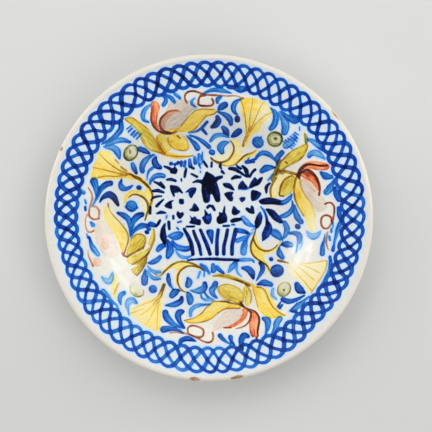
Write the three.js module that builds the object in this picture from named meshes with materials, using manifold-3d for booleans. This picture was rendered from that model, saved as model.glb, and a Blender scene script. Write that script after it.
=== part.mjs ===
// A large deep serving dish in thrown and turned earthenware, lying on its foot ring.
// It is one piece of clay: a flat well, a sloping curved wall, a broad rim that turns up
// towards a rolled lip, and a turned foot ring with a recess under the floor.
// Old knocks have taken small chips out of the lip.
// Units are millimetres. The foot rests on z = 0, the axis is +Z, and the mouth faces up.

import * as THREE from "three";
import { mergeVertices } from "three/addons/utils/BufferGeometryUtils.js";
import Module from "manifold-3d";

// Driving dimensions of the whole dish
const rimRadius = 175; // axis to the outermost point of the lip
const dishHeight = 63; // table to the top of the lip
const lipRadius = 3.9; // the roll of clay along the edge
const turnUpWidth = 24; // outer part of the rim, which turns up to the lip
const rimWidth = 53; // lip to the shoulder, where the rim falls into the well
const turnUpSlope = THREE.MathUtils.degToRad(21);
const rimSlope = THREE.MathUtils.degToRad(9);
const wallSlope = THREE.MathUtils.degToRad(42);

// Thickness of the clay
const rimThickness = 6.2;
const wallThickness = 7.4;
const floorThickness = 7.6;

// The turned foot
const footRadius = 71; // outside of the ring where it leaves the floor
const footWidth = 9; // across the ring at the same level
const footHeight = 8.5; // table to the underside of the floor outside the ring
const recessDepth = 7; // table to the underside of the floor inside the ring
const footTaper = 1.6; // each side of the ring leans in by this much on its way down
const footEdge = 1.1; // bevel worn on the two edges of the resting face

// How far each corner of the outline is rounded, along the lines that meet there
const wellRounding = 21;
const shoulderRounding = 9;
const turnUpRounding = 13;
const footFillet = 4;
const recessFillet = 3;

// Fineness of the facets: round the axis, then along the broad and the slight bends
const turns = 96;
const broadSteps = 5;
const slightSteps = 3;
const lipSteps = 8;

// Where two lines of the outline meet; each is a point and a slope above the horizontal
function meet(a, slopeA, b, slopeB) {
  const r = (b.y - a.y + a.x * Math.tan(slopeA) - b.x * Math.tan(slopeB)) /
    (Math.tan(slopeA) - Math.tan(slopeB));
  return new THREE.Vector2(r, a.y + (r - a.x) * Math.tan(slopeA));
}

// The point a given thickness below a sloping upper face, measured square to it
function beneath(point, slope, thickness) {
  return new THREE.Vector2(
    point.x + thickness * Math.sin(slope),
    point.y - thickness * Math.cos(slope),
  );
}

// Adds a rounded corner to an outline that comes from one point and leaves towards another
function roundCorner(outline, from, corner, towards, length, steps) {
  const start = towardsFrom(corner, from, Math.min(length, 0.48 * corner.distanceTo(from)));
  const end = towardsFrom(corner, towards, Math.min(length, 0.48 * corner.distanceTo(towards)));
  const bend = new THREE.QuadraticBezierCurve(start, corner, end);
  outline.push(...bend.getPoints(steps));
}

function towardsFrom(point, goal, distance) {
  return point.clone().add(goal.clone().sub(point).setLength(distance));
}

// Upper face, from the lip inwards. The rim is as thick above the lip's centre as below it.
const lipCentre = new THREE.Vector2(rimRadius - lipRadius, dishHeight - lipRadius);
const lipUpper = beneath(lipCentre, turnUpSlope, -rimThickness / 2);
const turnUp = pointOnLine(lipUpper, turnUpSlope, rimRadius - turnUpWidth);
const shoulder = pointOnLine(turnUp, rimSlope, rimRadius - rimWidth);
const floorTop = recessDepth + floorThickness;
const wellCorner = meet(shoulder, wallSlope, new THREE.Vector2(0, floorTop), 0);
const wellCentre = new THREE.Vector2(0, floorTop);

function pointOnLine(point, slope, radius) {
  return new THREE.Vector2(radius, point.y + (radius - point.x) * Math.tan(slope));
}

// Underside, as the same lines set back by the thickness of the clay
const lipLower = beneath(lipCentre, turnUpSlope, rimThickness / 2);
const rimUnderside = beneath(shoulder, rimSlope, rimThickness);
const wallUnderside = beneath(shoulder, wallSlope, wallThickness);
const turnUpBelow = meet(lipLower, turnUpSlope, rimUnderside, rimSlope);
const shoulderBelow = meet(rimUnderside, rimSlope, wallUnderside, wallSlope);
const wallFoot = meet(wallUnderside, wallSlope, new THREE.Vector2(0, footHeight), 0);
const footTop = new THREE.Vector2(footRadius, footHeight);
const footInner = footRadius - footWidth;

// The whole outline as [radius, height], anticlockwise from the underside of the floor
function dishOutline() {
  const recessCentre = new THREE.Vector2(0, recessDepth);
  const recessCorner = new THREE.Vector2(footInner, recessDepth);
  const innerEdge = new THREE.Vector2(footInner + footTaper, 0);
  const outerEdge = new THREE.Vector2(footRadius - footTaper, 0);
  const outline = [recessCentre];
  roundCorner(outline, recessCentre, recessCorner, innerEdge, recessFillet, slightSteps);
  outline.push(towardsFrom(innerEdge, recessCorner, footEdge));
  outline.push(towardsFrom(innerEdge, outerEdge, footEdge));
  outline.push(towardsFrom(outerEdge, innerEdge, footEdge));
  outline.push(towardsFrom(outerEdge, footTop, footEdge));
  roundCorner(outline, outerEdge, footTop, wallFoot, footFillet, slightSteps);
  roundCorner(outline, footTop, wallFoot, shoulderBelow, wellRounding, broadSteps);
  roundCorner(outline, wallFoot, shoulderBelow, turnUpBelow, shoulderRounding, broadSteps);
  roundCorner(outline, shoulderBelow, turnUpBelow, lipLower, turnUpRounding, slightSteps);
  outline.push(...lipArc());
  roundCorner(outline, lipUpper, turnUp, shoulder, turnUpRounding, slightSteps);
  roundCorner(outline, turnUp, shoulder, wellCorner, shoulderRounding, broadSteps);
  roundCorner(outline, shoulder, wellCorner, wellCentre, wellRounding, broadSteps);
  outline.push(wellCentre);
  return outline;
}

// The lip's roll stands a little proud of both faces of the rim, and runs from one to the other
function lipArc() {
  const reach = Math.PI - Math.asin(rimThickness / 2 / lipRadius);
  const arc = [];
  for (let step = 0; step <= lipSteps; step++) {
    const angle = turnUpSlope + reach * ((2 * step) / lipSteps - 1);
    arc.push(new THREE.Vector2(
      lipCentre.x + lipRadius * Math.cos(angle),
      lipCentre.y + lipRadius * Math.sin(angle),
    ));
  }
  return arc;
}

// Solids for cutting: closed geometry with only its shared positions kept
const wasm = await Module();
wasm.setup();

function solid(geometry) {
  const bare = geometry.clone();
  bare.deleteAttribute("normal");
  bare.deleteAttribute("uv");
  const merged = mergeVertices(bare, 1e-4);
  return new wasm.Manifold(new wasm.Mesh({
    numProp: 3,
    vertProperties: new Float32Array(merged.attributes.position.array),
    triVerts: new Uint32Array(merged.index.array),
  }));
}

function geometryOf(manifold) {
  const mesh = manifold.getMesh();
  const geometry = new THREE.BufferGeometry();
  geometry.setAttribute("position", new THREE.BufferAttribute(mesh.vertProperties, 3));
  geometry.setIndex(new THREE.BufferAttribute(mesh.triVerts, 1));
  geometry.computeVertexNormals();
  return geometry;
}

// Chips knocked out of the lip: where round the rim, how long, and how far in and down
const chips = [
  { bearing: -95, length: 12, bite: 2.1, drop: 1.7 },
  { bearing: -80, length: 14, bite: 2.0, drop: 1.8 },
  { bearing: 155, length: 5, bite: 1.3, drop: 1.6 },
  { bearing: 39, length: 16, bite: 1.0, drop: 1.3 },
];

function chipCutter({ bearing, length, bite, drop }) {
  const flake = new THREE.SphereGeometry(1, 14, 8);
  const place = new THREE.Object3D();
  const angle = THREE.MathUtils.degToRad(bearing);
  const radius = rimRadius - lipRadius * (1 - Math.SQRT1_2);
  place.position.set(
    radius * Math.cos(angle),
    radius * Math.sin(angle),
    dishHeight - lipRadius * (1 - Math.SQRT1_2),
  );
  place.rotation.z = angle;
  place.scale.set(bite * Math.SQRT2, length / 2, drop * Math.SQRT2);
  place.updateMatrix();
  return flake.applyMatrix4(place.matrix);
}

function makeDish() {
  const thrown = new THREE.LatheGeometry(dishOutline(), turns);
  thrown.rotateX(Math.PI / 2);
  let clay = solid(thrown);
  for (const chip of chips) clay = clay.subtract(solid(chipCutter(chip)));
  const glaze = new THREE.MeshStandardMaterial({
    color: 0xeee8da,
    roughness: 0.16,
    metalness: 0,
  });
  const dish = new THREE.Mesh(geometryOf(clay), glaze);
  dish.name = "dish";
  return dish;
}

const group = new THREE.Group();
group.add(makeDish());

export default group;
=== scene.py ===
# The looks of a large deep serving dish in tin-glazed earthenware, painted in cobalt blue,
# yellow, orange and brown, lying on its foot ring and seen from straight above.
# Units are metres. The axis of the dish is +Z, and the top of the painted design is towards +Y.

import math

import bmesh
import bpy
import numpy as np
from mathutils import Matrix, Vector


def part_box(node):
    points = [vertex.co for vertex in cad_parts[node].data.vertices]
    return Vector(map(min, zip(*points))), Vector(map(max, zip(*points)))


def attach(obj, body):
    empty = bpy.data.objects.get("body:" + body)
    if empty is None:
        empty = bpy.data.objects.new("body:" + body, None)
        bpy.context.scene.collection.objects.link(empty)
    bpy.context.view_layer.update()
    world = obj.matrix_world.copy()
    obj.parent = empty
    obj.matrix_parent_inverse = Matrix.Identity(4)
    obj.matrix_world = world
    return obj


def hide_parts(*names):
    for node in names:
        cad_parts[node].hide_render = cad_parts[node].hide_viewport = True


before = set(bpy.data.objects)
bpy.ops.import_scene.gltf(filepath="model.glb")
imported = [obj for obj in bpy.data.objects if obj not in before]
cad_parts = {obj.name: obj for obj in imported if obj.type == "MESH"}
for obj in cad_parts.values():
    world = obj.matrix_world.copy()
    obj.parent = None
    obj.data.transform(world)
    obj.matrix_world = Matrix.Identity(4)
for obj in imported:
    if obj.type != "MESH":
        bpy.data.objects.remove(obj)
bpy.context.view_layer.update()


# The camera looks straight down into the well, from just beside the axis. Where it stands
# also says which point of the dish lies under each point of the photograph, which is how
# the painter's strokes are placed further on.

dish_low, dish_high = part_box("dish")
rim_radius = (dish_high.x - dish_low.x) / 2
dish_height = dish_high.z

photo_size = 432
view_width = 0.460  # what the photograph takes in at the height of the lip
camera_place = Vector((0.0076, 0.0018, 1.61))
camera_reach = camera_place.z - dish_height
sensor_width = 0.036

camera_data = bpy.data.cameras.new("overhead")
camera_data.sensor_width = 1000 * sensor_width
camera_data.lens = 1000 * sensor_width * camera_reach / view_width
camera = bpy.data.objects.new("overhead", camera_data)
camera.location = camera_place
bpy.context.scene.collection.objects.link(camera)
bpy.context.scene.camera = camera


# The dish is one piece of buff clay, thrown on the wheel and turned on the underside once
# it was leather-hard: a flat well, a sloping wall, a broad rim turned up to a rolled lip, and
# a foot ring. Its outline is drawn in rings, each stretch spun with the steps that suit it.

lip_radius = 0.0039
turn_up_width = 0.024
rim_width = 0.053
turn_up_slope = math.radians(21)
rim_slope = math.radians(9)
wall_slope = math.radians(42)
rim_thickness = 0.0062
wall_thickness = 0.0074
floor_top = 0.0146
recess_height = 0.007
foot_height = 0.0085
foot_radius = 0.071
foot_width = 0.009
foot_taper = 0.0016

well_rounding = 0.021  # how far each corner of the outline is cut back to a curve
shoulder_rounding = 0.009
turn_up_rounding = 0.013
foot_fillet = 0.004
foot_edge = 0.0011
recess_fillet = 0.003
most_cut = 0.48  # of the way to the next corner

face_spacing = 0.00124  # between the rings of the painted face
face_facet = 1.1 * face_spacing  # the longest facet round those rings
face_bend_steps = 40
underside_facet = 0.005
underside_bend_steps = 8
lip_steps = 11
turn_counts = (16, 32, 64, 128, 192, 256, 384, 576, 864)
sectors = 8  # an eighth is spun, then copied round
weld_gap = 1e-5


def along(point, slope, radius):
    """Where a sloping line through the point reaches this distance from the axis."""
    return Vector((radius, point.y + (radius - point.x) * math.tan(slope)))


def crossing(a, slope_a, b, slope_b):
    rise_a, rise_b = math.tan(slope_a), math.tan(slope_b)
    radius = (b.y - a.y + a.x * rise_a - b.x * rise_b) / (rise_a - rise_b)
    return along(a, slope_a, radius)


def beneath(point, slope, thickness):
    """The point this far below a sloping face, measured square to it."""
    return point + thickness * Vector((math.sin(slope), -math.cos(slope)))


def rounded(corners, steps):
    """The outline through the corners, each one cut back by its rounding to an even curve."""
    line = [corners[0][0]]
    for (before, _), (corner, cut), (after, _) in zip(corners, corners[1:], corners[2:]):
        start = corner + (before - corner) * min(cut / (before - corner).length, most_cut)
        end = corner + (after - corner) * min(cut / (after - corner).length, most_cut)
        for step in range(steps + 1):
            t = step / steps
            line.append(start.lerp(corner, t).lerp(corner.lerp(end, t), t))
    return line + [corners[-1][0]]


def evenly(line, spacing):
    """The same line with its points set at even distances."""
    points = np.array(line)
    gaps = np.hypot(*np.diff(points, axis=0).T)
    reach = np.concatenate(([0], np.cumsum(gaps)))
    wanted = np.linspace(0, reach[-1], round(reach[-1] / spacing) + 1)
    return [Vector([np.interp(w, reach, points[:, axis]) for axis in (0, 1)]) for w in wanted]


lip_centre = Vector((rim_radius - lip_radius, dish_height - lip_radius))
lip_upper = beneath(lip_centre, turn_up_slope, -rim_thickness / 2)
lip_lower = beneath(lip_centre, turn_up_slope, rim_thickness / 2)
turn_up = along(lip_upper, turn_up_slope, rim_radius - turn_up_width)
shoulder = along(turn_up, rim_slope, rim_radius - rim_width)
well_corner = crossing(shoulder, wall_slope, Vector((0, floor_top)), 0)
face_line = rounded([
    (Vector((0, floor_top)), 0),
    (well_corner, well_rounding),
    (shoulder, shoulder_rounding),
    (turn_up, turn_up_rounding),
    (lip_upper, 0),
], face_bend_steps)

rim_below = beneath(shoulder, rim_slope, rim_thickness)
wall_below = beneath(shoulder, wall_slope, wall_thickness)
wall_foot = crossing(wall_below, wall_slope, Vector((0, foot_height)), 0)
foot_inner = foot_radius - foot_width
underside_line = rounded([
    (lip_lower, 0),
    (crossing(lip_lower, turn_up_slope, rim_below, rim_slope), turn_up_rounding),
    (crossing(rim_below, rim_slope, wall_below, wall_slope), shoulder_rounding),
    (wall_foot, well_rounding),
    (Vector((foot_radius, foot_height)), foot_fillet),
    (Vector((foot_radius - foot_taper, 0)), foot_edge),
    (Vector((foot_inner + foot_taper, 0)), foot_edge),
    (Vector((foot_inner, recess_height)), recess_fillet),
    (Vector((0, recess_height)), 0),
], underside_bend_steps)

lip_reach = math.pi - math.asin(rim_thickness / 2 / lip_radius)
lip_line = []
for step in range(1, lip_steps):
    bearing = turn_up_slope + lip_reach * (1 - 2 * step / lip_steps)
    lip_line.append(lip_centre + lip_radius * Vector((math.cos(bearing), math.sin(bearing))))


def turns_for(radius, facet):
    """The fewest points round a ring that keep its facets this short."""
    fitting = [count for count in turn_counts if 2 * math.pi * radius / count <= facet]
    return fitting[0] if fitting else turn_counts[-1]


# Every ring of the outline with its count of points round the axis, from the middle of the
# well over the lip to the middle of the recess
rings = []
for ring in evenly(face_line, face_spacing):
    rings.append((ring, turns_for(ring.x, face_facet)))
for ring in lip_line:
    rings.append((ring, turn_counts[-1]))
for ring in underside_line[:-1]:
    rings.append((ring, turns_for(ring.x, underside_facet)))
rings.append((underside_line[-1], rings[-1][1]))

# Rings that follow each other with the same count make a stretch, which is spun in one go
stretches = [[rings[0]]]
for ring in rings[1:]:
    if ring[1] != stretches[-1][-1][1]:
        stretches.append([])
    stretches[-1].append(ring)

bpy.ops.object.select_all(action="DESELECT")
spun = []
for stretch in stretches:
    start, turns = stretch[0]
    # a small plane merged to one point, which is drawn out along the stretch and spun
    bpy.ops.mesh.primitive_plane_add(size=0.002, location=(start.x, 0, start.y))
    bpy.ops.object.transform_apply()
    bpy.ops.object.mode_set(mode="EDIT")
    bpy.ops.mesh.merge(type="CENTER")
    for (before, _), (after, _) in zip(stretch, stretch[1:]):
        move = after - before
        bpy.ops.mesh.extrude_vertices_move(TRANSFORM_OT_translate={"value": (move.x, 0, move.y)})
    spin = {"center": (0, 0, 0), "axis": (0, 0, 1)}
    bpy.ops.mesh.select_all(action="SELECT")
    bpy.ops.mesh.spin(steps=turns // sectors, angle=2 * math.pi / sectors, **spin)
    bpy.ops.mesh.select_all(action="SELECT")
    bpy.ops.mesh.spin(steps=sectors - 1, angle=2 * math.pi * (1 - 1 / sectors), dupli=True, **spin)
    bpy.ops.mesh.select_all(action="SELECT")
    bpy.ops.mesh.remove_doubles(threshold=weld_gap)
    bpy.ops.object.mode_set(mode="OBJECT")
    spun.append(bpy.context.object)

bpy.ops.object.select_all(action="DESELECT")
for piece in spun:
    piece.select_set(True)
dish = spun[0]
dish.name = "painted_dish"
bpy.context.view_layer.objects.active = dish
bpy.ops.object.join()
bpy.ops.object.mode_set(mode="EDIT")
bpy.ops.mesh.select_all(action="DESELECT")
shell = bmesh.from_edit_mesh(dish.data)
# The two edges where neighbouring stretches meet are bridged
for inner, outer in zip(stretches, stretches[1:]):
    edges = (inner[-1][0], outer[0][0])
    for vertex in shell.verts:
        spot = Vector((math.hypot(vertex.co.x, vertex.co.y), vertex.co.z))
        vertex.select = any((spot - edge).length < 2 * weld_gap for edge in edges)
    shell.select_flush(True)
    bmesh.update_edit_mesh(dish.data)
    bpy.ops.mesh.bridge_edge_loops()
    bpy.ops.mesh.select_all(action="DESELECT")
bpy.ops.mesh.select_all(action="SELECT")
bpy.ops.mesh.remove_doubles(threshold=weld_gap)
bpy.ops.mesh.normals_make_consistent(inside=False)
bpy.ops.object.mode_set(mode="OBJECT")
bpy.ops.object.shade_smooth_by_angle(angle=math.radians(40))


# The same dish as it came out of the kiln and as it is now: a little out of true, with
# faint rings left by the thrower's fingers, and with small chips knocked off the glazed lip.

furthest = 0.003  # how far outside a mark its distance is still kept
true_within = 0.08  # the foot and the well stay flat and round out to here
out_of_round = 0.0003
edge_waves = ((2, 1.1, 1), (3, 0.4, 0.6))  # how many round the lip, their start and strength
warp_height = 0.0004
height_waves = ((2, -0.6, 1), (3, 2.2, 0.5))
finger_ring_height = 0.00004
finger_ring_spacing = 0.0085
finger_rings_show = (0.02, 0.04, 0.155, 0.165)  # where they come in, and where they go out
chip_grain = 0.13  # how rough the broken clay is, as a share of the chip
grain_beats = (9000, 8300)  # radians to a metre, to the right and towards the top

chips = (  # bearing in degrees, then length, bite and drop in metres
    (-95, 0.012, 0.0021, 0.0017),
    (-80, 0.014, 0.0020, 0.0018),
    (155, 0.005, 0.0013, 0.0016),
    (39, 0.016, 0.0010, 0.0013),
)
chip_centre = lip_centre + lip_radius * math.sqrt(0.5) * Vector((1, 1))

place = np.empty(3 * len(dish.data.vertices))
dish.data.vertices.foreach_get("co", place)
place = place.reshape(-1, 3)
radius = np.hypot(place[:, 0], place[:, 1])
turn = np.arctan2(place[:, 1], place[:, 0])
face_height = np.interp(radius, *zip(*face_line))
painted = place[:, 2] > face_height - rim_thickness / 2



def waves(shape):
    return sum(strength * np.sin(count * turn + start) for count, start, strength in shape)


chipped = np.full(len(place), -furthest)
for bearing, length, bite, drop in chips:
    aside = turn - math.radians(bearing)
    half = np.array((bite * math.sqrt(2), length / 2, drop * math.sqrt(2)))
    spot = np.column_stack([
        radius * np.cos(aside) - chip_centre.x,
        radius * np.sin(aside),
        place[:, 2] - chip_centre.y,
    ]) / half
    grain = np.sin(grain_beats[0] * place[:, 0]) * np.sin(grain_beats[1] * place[:, 1] + 2)
    reach = np.linalg.norm(spot, axis=1) + chip_grain * grain
    chipped = np.maximum(chipped, np.where(np.cos(aside) > 0, (1 - reach) * bite, -furthest))
    # What lies inside the chip is pushed in and down, at 45 degrees, to its far surface. The
    # way there is the root of a * push**2 + b * push + c.
    inward = -math.sqrt(0.5) / half[[0, 2]]
    a = (inward**2).sum()
    b = 2 * spot[:, [0, 2]] @ inward
    c = reach**2 - 1
    push = np.where(c < 0, (np.sqrt(np.maximum(b * b - 4 * a * c, 0)) - b) / (2 * a), 0)
    push = np.where(np.cos(aside) > 0, push, 0) * math.sqrt(0.5)
    place[:, 0] -= push * np.cos(turn)
    place[:, 1] -= push * np.sin(turn)
    place[:, 2] -= push

beyond = np.clip((radius - true_within) / (rim_radius - true_within), 0, 1) ** 2
swell = out_of_round * beyond * waves(edge_waves)
place[:, :2] *= (1 + swell / np.maximum(radius, 0.01))[:, None]
place[:, 2] += warp_height * beyond * waves(height_waves)
finger_rings = np.sin(2 * math.pi * radius / finger_ring_spacing + turn)
fade = np.interp(radius, finger_rings_show, (0, 1, 1, 0))
place[:, 2] += np.where(painted, finger_ring_height * fade * finger_rings, 0)
dish.data.vertices.foreach_set("co", place.ravel())
dish.data.update()
attribute = dish.data.attributes.new("chip_inside", "FLOAT", "POINT")
attribute.data.foreach_set("value", 1000 * chipped)


# The decoration is painted on the raw white glaze with a soft brush and melts into it in
# the kiln. Each stroke is given where the photograph shows it: the points that the brush
# passes, in pixels from its top left corner, the widths on the way, and the load of colour.

pixel = view_width / photo_size  # metres of dish under one pixel, at the height of the lip
soft_edge = 0.0005
curve_steps = 5
overlap_share = 0.3  # how much of the thinner colour adds to the thicker where two overlap
least_cover = 0.05
fine_below = 2.6  # how many faces wide a line is when it begins to count as fine

depth = (camera_place.z - place[:, 2]) / camera_reach
seen = np.column_stack([
    photo_size / 2 + (place[:, 0] - camera_place.x) / (pixel * depth),
    photo_size / 2 - (place[:, 1] - camera_place.y) / (pixel * depth),
])
seen[~painted] = -photo_size


def eased(points, closed=False):
    """The smooth line that a brush takes through the points."""
    points = np.array(points, float)
    if closed:
        ends = points[-1:], points[:2]
    else:
        ends = 2 * points[:1] - points[1:2], 2 * points[-1:] - points[-2:-1]
    run = np.vstack([ends[0], points, ends[1]])
    t = np.linspace(0, 1, curve_steps, endpoint=False)[:, None]
    line = []
    for a, b, c, d in zip(run, run[1:], run[2:], run[3:]):
        bend = (2 * a - 5 * b + 4 * c - d) * t**2 + (3 * b - a - 3 * c + d) * t**3
        line.append(b + 0.5 * ((c - a) * t + bend))
    return np.vstack([*line, points[:1] if closed else points[-1:]])


def near_line(line, margin):
    """The points of the mesh that lie in the box round the line, with this margin."""
    low, high = line.min(0) - margin, line.max(0) + margin
    return np.flatnonzero(((seen > low) & (seen < high)).all(1))


def from_line(spots, line):
    """For each spot and stretch of the line: the distance, how far along it lies, the side."""
    run = np.diff(line, axis=0)
    square = np.maximum((run**2).sum(1), 1e-9)
    offset = spots[:, None] - line[:-1]
    share = np.clip((offset * run).sum(2) / square, 0, 1)
    gap = np.linalg.norm(offset - share[..., None] * run, axis=2)
    side = (run[:, 0] * offset[..., 1] - run[:, 1] * offset[..., 0]) / np.sqrt(square)
    return gap, share, side


def spread(values, shares):
    """The values spaced evenly along a stroke, read at these shares of its length."""
    values = np.atleast_1d(values)
    return np.interp(shares, np.linspace(0, 1, len(values)), values)


class Pigment:
    """One ceramic colour: how deep in its strokes each point lies, and what the brush left.

    A stroke can be narrower than a face of the mesh. So each point also keeps its distance to
    the stroke's centre line, with a sign for the side, which stays exact between the points.
    The way along and across the stroke is kept for the streaks that the bristles leave.
    """

    def __init__(self, name):
        self.name = name
        self.inside = np.full(len(seen), -furthest)
        self.side = np.zeros(len(seen))
        self.nearest = np.zeros(len(seen))
        self.laid = np.zeros(len(seen))
        self.cover = np.zeros(len(seen))
        self.way = np.zeros((len(seen), 2))

    def lay(self, near, inside, load, side=0.0, way=0.0):
        """Lays one mark over the points near it, each as deep inside the mark as given."""
        cover = np.clip(0.5 + inside / (2 * soft_edge), 0, 1)
        before, added = self.laid[near], cover * load
        overlap = overlap_share * np.minimum(before, added)
        self.laid[near] = np.maximum(before, added) + overlap
        self.cover[near] = np.maximum(self.cover[near], cover)
        closer = inside > self.inside[near]
        spots = near[closer]
        self.inside[spots] = inside[closer]
        self.side[spots] = np.broadcast_to(side, inside.shape)[closer]
        self.nearest[spots] = np.broadcast_to(load, inside.shape)[closer]
        self.way[spots] = np.broadcast_to(way, (len(inside), 2))[closer]

    def brush(self, points, widths, loads):
        """One stroke along the points, with the widths and loads spaced evenly along it."""
        line = eased(points)
        near = near_line(line, np.max(widths) / 2 + furthest / pixel)
        gap, share, side = from_line(seen[near], line)
        lengths = np.linalg.norm(np.diff(line, axis=0), axis=1)
        reach = np.concatenate(([0], np.cumsum(lengths))) / lengths.sum()
        along_line = reach[:-1] + share * np.diff(reach)
        half = spread(widths, along_line) / 2
        best = (half - gap).argmax(1)[:, None]
        half, gap, side, along_line = (
            np.take_along_axis(kept, best, 1)[:, 0] for kept in (half, gap, side, along_line)
        )
        fine = np.clip(fine_below - 2 * half * pixel / face_spacing, 0, 1)
        way = np.column_stack([side, along_line * lengths.sum() + line[0].sum()]) * pixel
        self.lay(near, (half - gap) * pixel, spread(loads, along_line), side * fine * pixel, way)

    def fill(self, outline, load, pools=()):
        """A patch of even colour inside an outline, deeper or thinner where it pooled."""
        line = eased(outline, closed=True)
        near = near_line(line, furthest / pixel)
        gap = from_line(seen[near], line)[0]
        x, y = seen[near, 0, None], seen[near, 1, None]
        (x1, y1), (x2, y2) = line[:-1].T, line[1:].T
        crossed = (y1 > y) != (y2 > y)
        rise = np.where(y1 == y2, 1, y2 - y1)
        within = (crossed & (x < x1 + (y - y1) * (x2 - x1) / rise)).sum(1) % 2 == 1
        loads = np.full(len(near), float(load))
        for pool_x, pool_y, reach, extra in pools:
            away = np.hypot(x[:, 0] - pool_x, y[:, 0] - pool_y)
            loads += extra * np.exp(-((away / reach) ** 2))
        longways, across = np.linalg.svd(line - line.mean(0), full_matrices=False)[2]
        way = (seen[near] - line.mean(0)) @ np.column_stack([across, longways]) * pixel
        way[:, 1] += line[0].sum() * pixel
        self.lay(near, np.where(within, 1, -1) * gap.min(1) * pixel, loads, way=way)

    def keep(self):
        """Writes the values of each point into the mesh, in millimetres, for the finish."""
        even = self.laid / np.maximum(self.cover, least_cover)
        load = np.where(self.cover > least_cover, even, self.nearest)
        half = self.inside + np.abs(self.side)
        stroke = 1000 * np.column_stack([self.inside, half, self.side])
        attribute = dish.data.attributes.new(f"{self.name}_stroke", "FLOAT_VECTOR", "POINT")
        attribute.data.foreach_set("vector", stroke.ravel())
        brushed = np.column_stack([load, 1000 * self.way])
        attribute = dish.data.attributes.new(f"{self.name}_load", "FLOAT_VECTOR", "POINT")
        attribute.data.foreach_set("vector", brushed.ravel())


pigments = [
    Pigment(name)
    for name in ("lilac", "rose", "yellow", "olive", "green", "orange", "ochre", "brown", "cobalt")
]
lilac, rose, yellow, olive, green, orange, ochre, brown, cobalt = pigments
pale, light, mid, full, deep, dark, navy = 0.32, 0.5, 0.7, 0.9, 1.1, 1.35, 1.85

# Broad washes: each is the outline of a patch, its load, and where the colour pooled as
# (x, y, reach, extra load)
lilac_washes = {
    "cup of the top bloom": [
        ([(171, 101), (183, 99), (196, 103), (199, 107), (190, 113), (186, 121), (178, 128),
          (168, 130), (160, 125), (162, 117), (166, 111)], 0.6, [(183, 106, 6, 0.25)]),
    ],
    "cup of the right bloom": [
        ([(300, 180), (308, 180), (313, 186), (319, 193), (325, 200), (327, 208), (318, 212),
          (312, 205), (304, 194), (300, 187)], 0.5),
    ],
    "cup of the lower bloom": [
        ([(224, 312), (232, 309), (242, 309), (246, 315), (241, 321), (231, 326), (220, 329),
          (213, 331), (215, 322)], 0.4),
    ],
    "cup of the left bloom": [
        ([(97, 222), (104, 221), (112, 230), (117, 243), (119, 254), (112, 258), (103, 254),
          (97, 243), (94, 231)], 0.35),
    ],
}

rose_washes = {
    "cup of the left bloom": [
        ([(103, 237), (107, 238), (109, 246), (106, 250), (102, 246)], 0.28),
        ([(93, 259), (98, 257.5), (102, 261), (101, 265.5), (95, 266.5)], 0.3,
         [(96, 262, 3, 0.15)]),
    ],
}

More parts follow.
